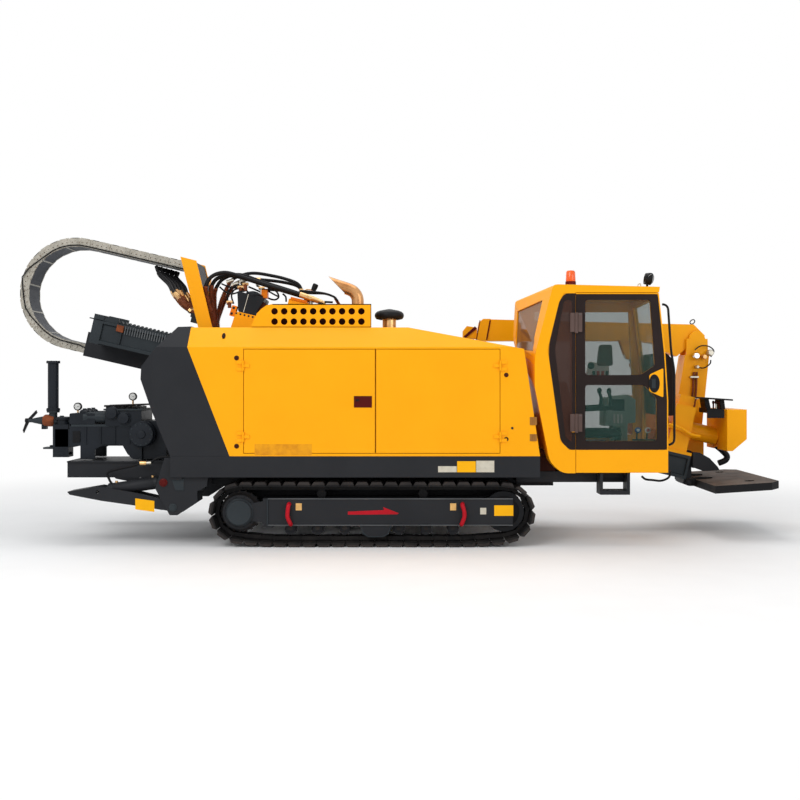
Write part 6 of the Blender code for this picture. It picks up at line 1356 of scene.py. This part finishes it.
def mast_details():
    """The beam's ribs, its rear horns and stoppers and the rack's teeth."""
    dress("mast_beam", "slate", 0.003)
    dress("mast_lugs", "dark", 0.002)
    dress("chain_tray", "dark", 0.003)
    dress("mast_barrel", "dark", 0.003)
    dress("mast_rod", "chrome", 0.001)
    form = Form("slate", "copper", "worn", "dark", "chrome", place=mast)
    for u in [x * 0.62 - 5.0 for x in range(11)]:
        form.box((u, u + 0.014), (0.102, 0.128), (0.165, 0.365))
        form.box((u, u + 0.014), (0.572, 0.598), (0.165, 0.365))
    horn = [(-5.25, 0.40), (-5.175, 0.475), (-5.06, 0.475), (-5.06, 0.40)]
    form.prism(horn, 0.11, 0.17)
    form.prism(horn, 0.53, 0.59)
    form.box((-5.40, -5.20), (0.10, 0.60), (0.395, 0.409))
    form.box((-5.06, -4.975), (0.092, 0.18), (0.315, 0.395), 1)
    form.box((-5.06, -4.975), (0.52, 0.608), (0.315, 0.395), 1)
    form.done("mast_fittings", "mast", bevel=0.003)
    comb = Form("edge", place=mast)
    for index in range(190):
        u = -4.96 + 0.03 * index
        comb.box((u, u + 0.010), (0.0965, 0.1005), (0.30, 0.40))
    comb.done("rack_teeth", "mast")


def carriage():
    """The power head: sledge, gearbox with its covers, feed drive and its upright motors."""
    form = Form("yellow", "orange", "dark", "slate", place=mast)
    form.box((-4.30, -2.40), (0.04, 0.66), (0.455, SLEDGE_HIGH))
    for y in ((0.05, 0.094), (0.606, 0.635)):
        form.box((-4.20, -2.50), y, (0.24, 0.465))
    for u in (-4.1, -3.7, -3.3, -2.9, -2.6):
        form.rod((u, 0.046, 0.30), (u, 0.06, 0.30), 0.03, 2)
    seat = SLEDGE_HIGH - 0.005
    body = rounded([(-3.28, seat), (-2.56, seat), (-2.56, GEARBOX_TOP - 0.05), (-2.64, GEARBOX_TOP),
                    (-3.28, GEARBOX_TOP)], 0.03)
    form.prism(body, 0.10, 0.60)
    for u in (-3.24, -2.62):
        form.box((u, u + 0.03), (0.08, 0.62), (seat, GEARBOX_TOP + 0.01))
    form.box((-3.16, -2.92), (0.20, 0.50), (GEARBOX_TOP - 0.01, GEARBOX_TOP + 0.21))
    form.box((-3.14, -2.94), (0.18, 0.52), (GEARBOX_TOP + 0.205, GEARBOX_TOP + 0.235), 1)
    form.rod((-3.05, 0.198, 1.07), (-3.05, 0.206, 1.07), 0.035, 3)
    housing = rounded([(-3.76, seat), (-3.36, seat), (-3.36, 0.80), (-3.47, 0.868), (-3.73, 0.868)],
                      0.025)
    form.prism(housing, 0.12, 0.58)
    form.prism(rounded([(-3.80, 0.80), (-3.73, 0.80), (-3.73, 0.93), (-3.79, 0.93)], 0.012), 0.13, 0.22,
               1)
    for u, w in ((-3.775, 0.83), (-3.765, 0.90)):
        form.bolt((u, 0.13, w), (0, -1, 0), 0.012, 2)
    for u in [x * 0.05 - 3.72 for x in range(6)]:
        form.bolt((u, 0.12, 0.845), (0, -1, 0), 0.009, 2)
    form.lathe([(0, 0.17), (0.02, 0.17), (0.022, 0.14), (0.10, 0.14)], (-3.36, DRILL_Y, DRILL_W),
               (1, 0, 0), 0, 32)
    form.done("carriage_dressed", "carriage", bevel=0.005, replaces=("carriage",))
    motors = Form("pump", "brass", "rust", "zinc", place=mast)
    shell = rounded([(-3.705, 0.868), (-3.505, 0.868), (-3.43, 1.085), (-3.46, 1.105), (-3.77, 1.105)],
                    0.02)
    for y in (0.13, 0.37):
        motors.prism(shell, y, y + 0.20)
        # A thin pale zinc strip down each motor's near face: a painted highlight.
        motors.prism([(-3.645, 0.875), (-3.637, 0.875), (-3.627, 1.10), (-3.635, 1.10)], y - 0.003, y, 3)
        motors.prism(rounded([(-3.50, 0.90), (-3.46, 1.06), (-3.40, 1.03), (-3.42, 0.92)], 0.015),
                     y + 0.02, y + 0.17, 2)
    for y in (0.22, 0.48):
        motors.lathe([(0, 0.10), (0.03, 0.10), (0.04, 0.085), (0.062, 0.03)], (MOTOR_U, y, 1.09),
                     (0, 0, 1), 0, 36)
    motors.done("carriage_motors", "carriage", bevel=0.006)
    dress("spindle", "dark", 0.003)
    hose_post()
    head_hoses()
    chain_hoses()


def hose_post():
    """The leaning post: two plates, the web and bars between them, and the arm under the chain's end; the
    web's dark paint is painted shade between the plates.
    """
    form = Form("yellow", "dark", "rust", place=mast)
    foot = SLEDGE_HIGH + 0.0003
    plate = [(-4.07, foot), (-3.89, foot), (-4.313, 1.344), (-4.506, 1.348)]
    for y in (0.065, 0.615):
        form.prism(plate, y, y + 0.02)
    # The web takes the dark paint as painted shade: it stands for the plates' shaded inner faces near their
    # front edges.
    web = [(-4.335, 1.330), (-4.313, 1.325), (-4.175, 1.045), (-4.195, 1.040)]
    form.prism(web, 0.08, 0.62, 1)
    form.box((-4.44, -4.38), (0.075, 0.625), (1.24, 1.30), 1)
    form.box((-4.22, -4.12), (0.075, 0.625), (0.62, 0.68), 1)
    form.box((-4.08, -3.88), (0.085, 0.615), (foot, foot + 0.05))
    form.box((-4.48, -4.28), (0.625, 1.05), (1.152, 1.232))
    for u, w in ((-4.05, 0.54), (-3.93, 0.54)):
        form.bolt((u, 0.065, w), (0, -1, 0), 0.013, 2)
    form.done("hose_post_dressed", "carriage", bevel=0.004, replaces=("hose_post",))


HEAD_HOSES = (
    (0.16, 0.024, (
        (-3.96, 0.58), (-3.98, 0.682), (-4.03, 0.793), (-4.097, 0.925), (-4.152, 1.059), (-4.112, 1.203),
        (-3.96, 1.288), (-3.712, 1.277), (-3.386, 1.25), (-3.039, 1.235), (-2.76, 1.205)
    )),
    (0.24, 0.024, (
        (-3.96, 0.58), (-3.983, 0.686), (-4.022, 0.801), (-4.066, 0.938), (-4.101, 1.091),
        (-4.044, 1.215), (-3.885, 1.276), (-3.646, 1.27), (-3.296, 1.24), (-2.982, 1.22), (-2.74, 1.2)
    )),
    (0.32, 0.022, (
        (-3.96, 0.58), (-3.975, 0.693), (-4.008, 0.809), (-4.041, 0.926), (-4.062, 1.07),
        (-3.997, 1.222), (-3.82, 1.312), (-3.541, 1.29), (-3.213, 1.266), (-2.911, 1.235), (-2.73, 1.2)
    )),
    (0.42, 0.020, (
        (-3.95, 0.58), (-3.982, 0.697), (-3.985, 0.821), (-3.976, 0.999), (-3.916, 1.225), (-3.79, 1.33),
        (-3.651, 1.38), (-3.454, 1.395), (-3.291, 1.395), (-3.139, 1.375), (-3.07, 1.32), (-3.05, 1.24)
    )),
    (0.50, 0.020, (
        (-3.94, 0.58), (-3.984, 0.701), (-3.976, 0.829), (-3.95, 0.986), (-3.874, 1.205),
        (-3.718, 1.292), (-3.498, 1.335), (-3.291, 1.355), (-3.142, 1.35), (-3.071, 1.31), (-3.05, 1.24)
    )),
)


def wrapped(form, line, radius, finish):
    """A ribbed guard round a hose."""
    form.tube(line, radius, finish, 12)
    for index in range(1, len(line) - 1):
        ahead = (line[index + 1] - line[index - 1]).normalized()
        ends = ((-0.007, 0.92), (0.0, 1.28), (0.007, 0.92))
        form.loft([circle(line[index] + ahead * reach, ahead, radius * size, 12) for reach, size in ends],
                  finish)


def head_hoses():
    """The thick hoses that arch over the drive to the gearbox, with guards, fittings and thin lines."""
    form = Form("hose", "brass", "copper", "dark", place=mast)
    low = SLEDGE_HIGH + 0.0503
    form.box((-4.03, -3.87), (0.12, 0.54), (SLEDGE_HIGH + 0.0003, low + 0.05), 3)
    form.box((-2.80, -2.68), (0.13, 0.35), (GEARBOX_TOP + 0.0003, GEARBOX_TOP + 0.24), 3)
    for y, radius, route in HEAD_HOSES:
        line = smooth_path([(u, y, w) for u, w in route], 8)
        form.tube(line, radius, 0, 16)
        wrapped(form, line[4:34], radius + 0.003, 2)
        form.rod((route[0][0], y, low), (route[0][0], y, 0.62), radius + 0.008, 1, 6)
        end = len(line) - 6
        form.tube(line[end:], radius + 0.002, 1)
        form.rod(line[end - 3], line[end + 1], radius + 0.007, 1, 6)
    form.done("head_hoses_dressed", "carriage", replaces=("head_hoses",))
    thin = Form("hose", "brass", "copper", "zinc", "orange")
    loops = [
        (0.28, 0.014, [(262, 290), (275, 290.5), (296, 292.5), (312, 293.5), (325, 294), (334, 297),
                       (337, 300)]),
        (0.20, 0.013, [(300, 291), (312, 292), (324, 293.5), (333, 296.5), (338, 301)]),
        (0.30, 0.013, [(302, 301), (312, 301.5), (322, 302), (333, 302.5)]),
        (0.22, 0.011, [(228, 305), (228, 297), (229, 291), (234, 287), (240, 285)]),
        (0.20, 0.010, [(220, 287), (226, 292), (233, 294), (240, 292), (246, 291)]),
        (0.26, 0.010, [(234, 304), (232, 296), (235, 290), (243, 289), (249, 293), (250, 299)]),
        (0.36, 0.011, [(249, 287), (256, 290), (262, 293), (268, 298), (275, 300), (279, 297), (276, 291),
                       (268, 289)]),
        (0.30, 0.010, [(257, 286), (266, 290), (275, 295), (279, 297)]),
        (0.44, 0.011, [(283, 294), (286, 297), (286.5, 302)]),
        (0.34, 0.010, [(222, 284), (228, 286.5), (236, 288), (244, 284)]),
    ]
    for y, radius, points in loops:
        thin.tube(smooth_path([seen(px, py, y) for px, py in points], 6), radius, 0, 10)
    for px, py, y, tall in ((241, 289, 0.22, 0.10), (243, 284, 0.40, 0.10), (246, 286, 0.2, 0.06),
                            (262, 290, 0.3, 0.10), (230, 304, 0.2, 0.05), (258, 281, 0.36, 0.06),
                            (311, 300, 0.24, 0.06)):
        at = seen(px, py, y)
        thin.rod(at - Vector((0, 0, tall)), at + Vector((0, 0, 0.02)), 0.022, 2 if px < 250 else 3, 6)
        thin.rod(at + Vector((-0.035, 0, 0.02)), at + Vector((0.035, 0, 0.02)), 0.019, 1, 10)
    for px, py, y in ((231, 281, 0.25), (236, 284, 0.30), (244, 281, 0.28)):
        at = seen(px, py, y)
        thin.rod(at - Vector((0.035, 0, 0.01)), at + Vector((0.035, 0, 0.01)), 0.020, 3, 8)
        thin.rod(at - Vector((0.050, 0, 0.014)), at - Vector((0.030, 0, 0.01)), 0.025, 3, 6)
    for px, py in ((337, 300), (338.5, 302)):
        at = seen(px, py, 0.22)
        thin.rod(at - Vector((0.02, 0, -0.02)), at + Vector((0.02, 0, -0.05)), 0.018, 2, 8)
    block = seen(265, 294.5, 0.3)
    thin.box((block.x - 0.03, block.x + 0.04), (0.24, 0.36), (block.z - 0.05, block.z + 0.05), 4)
    thin.done("head_lines", "carriage")
    head_lamp()


def head_lamp():
    """The small lamp on its bent stalk over the gearbox."""
    form = Form("black", "lens", "brass")
    y = 0.30
    stalk = [seen(305.5, 296, y), seen(305.5, 290.5, y), seen(309, 289.8, y), seen(313, 290.5, y)]
    form.tube(smooth_path(stalk, 5), 0.007, 2, 8)
    foot, top = seen(313.2, 291.5, y), seen(316.0, 285.0, y)
    form.lathe([(0, 0.012), (0.01, 0.030), (0.05, 0.034), (0.085, 0.034), (0.095, 0.026)], foot,
               top - foot, 0, 24)
    form.lathe([(0.093, 0.024), (0.096, 0.020)], foot, top - foot, 1, 20)
    form.done("head_lamp", "carriage")


def chain_hoses():
    """The bundle that drops from the chain's end to the post, its lower ends in fittings."""
    form = Form("hose", "copper", "brass", "dark", place=mast)
    bar = 0.6803
    form.box((-4.24, -4.13), (0.10, 0.60), (bar, bar + 0.05), 3)
    top = CHAIN_LOW_W + 2 * CHAIN_RADIUS - CHAIN_HEIGHT / 2 - 0.028
    for index in range(10):
        t = index * 4 / 9
        step = 0.022 if index % 2 else 0.0
        points = [
            (-4.92 + 0.055 * t, 0.70 + 0.07 * t, top),
            (-4.86 + 0.050 * t - step, 0.66 + 0.06 * t, top - 0.07 - step),
            (-4.67 + 0.045 * t - step, 0.48 + 0.05 * t, top - 0.17 - step),
            (-4.54 + 0.035 * t - step, 0.29 + 0.06 * t, top - 0.27 - step),
            (-4.37 + 0.020 * t - step, 0.17 + 0.08 * t, top - 0.39 - step),
            (-4.19, 0.14 + 0.08 * t, bar + 0.04),
        ]
        line = smooth_path(points, 6)
        form.tube(line, 0.022)
        start = 18 if index % 3 else 20
        form.tube(line[start:], 0.0235, 1, 10)
        form.rod(line[start - 1], line[start + 2], 0.029, 2, 6)
        form.rod(line[-4], line[-3], 0.029, 2, 6)
    form.done("chain_hoses_dressed", "carriage", replaces=("chain_hoses",))


def front():
    """Wrench, clamp, guide tube and wiper box, with the levers, hoses and the ground plate."""
    dress("vise", "yellow", 0.006)
    dress("wrench_cradle", "yellow", 0.006)
    dress("guide_tube", "yellow", 0.003)
    dress("wrench", "orange", 0.006)
    dress("wiper_box", "yellow", 0.018, 3)
    dress("anchor_plate", "plate_top", 0.006)
    dress("anchor_hinge", "dark", 0.003)
    form = Form("hose", "brass", "yellow", "dark", "zinc", "worn")
    for index in range(4):
        y = 0.02 + index * 0.10
        points = [seen(668, 424 + index * 2, y), seen(680, 428 + index * 2, y - 0.02),
                  seen(690, 434 + index, y - 0.03), seen(699, 436 + index * 0.5, y)]
        form.tube(smooth_path(points, 6), 0.016, 2)
    form.done("front_hoses", "mast")
    levers = Form("black", "zinc", "rust", "orange")
    bars = (([(700.3, 397.0), (732.2, 399.2), (732.2, 400.8), (700.3, 398.6)], 0.0, 0.36),
            ([(705.5, 398.5), (710.0, 398.8), (712.5, 410.5), (707.5, 411.5)], 0.08, 0.28),
            ([(721.0, 399.2), (725.5, 399.5), (727.0, 412.0), (722.5, 412.0)], 0.08, 0.28),
            ([(706.5, 408.0), (726.5, 409.5), (726.5, 414.0), (706.5, 413.0)], 0.02, 0.34))
    for points, low, high in bars:
        levers.prism(flat(points, 0.0), low, high)
    for index in range(4):
        at = seen(712.5 + 2.8 * index, 409, 0.10)
        levers.rod(at, at + Vector((0, 0, 0.07)), 0.010, 1 if index % 2 else 2, 10)
        levers.lathe([(0, 0.010), (0.01, 0.016), (0.03, 0.016), (0.04, 0.006)], at + Vector((0, 0, 0.06)),
                     (0, 0, 1), 2, 14)
    levers.panel((706.5, 723.5, 410.2, 418), -0.10, -0.103, -0.09)
    levers.done("valve_levers", "mast", bevel=0.002, replaces=("valve_block",))
    drop = Form("hose", "dark")
    drop.tube(smooth_path([(4.05, 0.30, 0.99), (4.12, 0.30, 0.93), (4.17, 0.30, 0.87), (4.15, 0.30, 0.82),
                           (4.07, 0.30, 0.785)], 6), 0.036, 0, 20)
    drop.done("wiper_drain_hose", "mast")
    arm = Form("dark")
    side = [(692, 452), (699, 452.5), (709, 458), (717, 466.5), (719, 470), (703, 471), (692, 467)]
    for y in (0.10, 0.54):
        arm.prism(flat(side, 0.10), y, y + 0.06)
    arm.done("anchor_arms", "mast", bevel=0.004)


def crane():
    """The slewing column with its plumbing, and the folded boom with its bands and eye."""
    for node in ("crane_base", "crane_column"):
        dress(node, "yellow", 0.008)
    dress("luff_barrel", "orange", 0.003)
    dress("luff_rod", "chrome", 0.001)
    form = Form("yellow", "maroon", "worn", "dark")
    near, far = 0.76, 0.96
    beam = [(486.5, 341), (490.5, 319.5), (693, 324.6), (704, 335.5), (702.5, 346), (689, 345),
            (676, 356.5), (665, 352), (655, 344), (640, 341)]
    form.prism(flat(beam, near), near, far)
    collar = [(476.5, 338.5), (479.5, 322), (483, 319), (490.5, 319), (486.5, 341.5), (478, 340.5)]
    form.prism(flat(collar, near), near - 0.01, far + 0.01)
    for left, right in ((489.2, 490.6), (479.2, 480.2)):
        seam = [(left - 3.6, 340), (right - 3.6, 340), (right, 320.5), (left, 320.5)]
        form.prism(flat(seam, near), near - 0.012, near - 0.009, 1)
    tip = [(463, 338), (463, 331), (467, 326), (477, 327.5), (477, 339)]
    form.prism(flat(tip, near), 0.80, 0.92)
    bar = [(463.5, 336.5), (465.5, 338), (476.8, 328.6), (475, 326.2)]
    form.prism(flat(bar, near), 0.785, 0.80, 1)
    form.box((1.08, 1.16), (0.83, 0.89), (2.08, 2.30), 3)
    lug = [(2.98, 2.30), *arc((3.10, 2.09), 0.045, 190, 350, 6), (3.22, 2.30)]
    for y in (0.795, 0.905):
        form.prism(lug, y, y + 0.02)
    form.done("crane_boom_dressed", "crane_boom", bevel=0.004, replaces=("crane_boom",))
    ring = Form("worn")
    middle = seen(691.6, 322.0, 0.86)
    spots = []
    for index in range(24):
        t = 2 * math.pi * index / 24
        rise = 0.026 * math.sin(t) + 0.3 * 0.030 * math.cos(t)
        spots.append(middle + Vector((0.030 * math.cos(t), 0, rise)))
    ring.loft([circle(spot, (middle - spot).cross(Vector((0, 1, 0))), 0.007, 10) for spot in spots],
              closed=True)
    ring.done("boom_eye", "crane_boom")
    post = Form("brass", "hose", "zinc", "chrome", "copper", "dark")
    for px, py, finish, radius in ((694, 356, 3, 0.045), (702, 357, 0, 0.032), (708, 353, 2, 0.040),
                                   (695, 367, 2, 0.022)):
        at = seen(px, py, 0.70)
        post.lathe([(0, radius * 0.6), (0.02, radius), (0.09, radius), (0.11, radius * 0.7)],
                   (at.x, 0.71, at.z), (0, -1, 0), finish, 20)
    for points in (((694, 350), (700, 346), (708, 346.5), (713, 351), (710, 357)),
                   ((696, 367), (703, 368), (709, 364), (710, 360))):
        post.tube(smooth_path([seen(px, py, 0.66) for px, py in points], 6), 0.008, 1, 10)
    for px, low in ((693, 372), (696, 372)):
        line = smooth_path([seen(px, low, 0.69), seen(px - 1, 392, 0.68), seen(px - 3, 408, 0.68),
                            seen(px - 7, 420, 0.70)], 6)
        post.tube(line, 0.014, 4)
    for py in (377, 398):
        at = seen(693.5, py, 0.68)
        post.box((at.x - 0.05, at.x + 0.05), (0.66, 0.712), (at.z - 0.010, at.z + 0.010), 2)
    post.done("crane_plumbing", "crane_column")


def far_side():
    """The tank's cap and straps, on the side that the photograph doesn't show."""
    dress("side_tank", "yellow", 0.012, 3)
    form = Form("black", "dark", "zinc")
    form.lathe([(0, 0.06), (0.03, 0.06), (0.035, 0.05), (0.045, 0.02)], (-1.30, 0.88, 1.30), (0, 0, 1))
    for x in (-1.45, -0.75, -0.05):
        form.box((x, x + 0.05), (1.078, 1.086), (0.985, 1.235), 1)
        form.box((x, x + 0.05), (0.71, 1.03), (1.298, 1.306), 1)
    form.done("side_tank_fittings", "machine", bevel=0.002)


stage()
for side, tag in ((-1, "near"), (1, "far")):
    track(side, tag)
    dress("track_frame_" + tag, "dark", 0.004)
    track_frame(side, tag)
chassis_details()
stabilizers()
mud_pump()
hood()
cab()
drag_chain()
mast_details()
carriage()
front()
crane()
far_side()
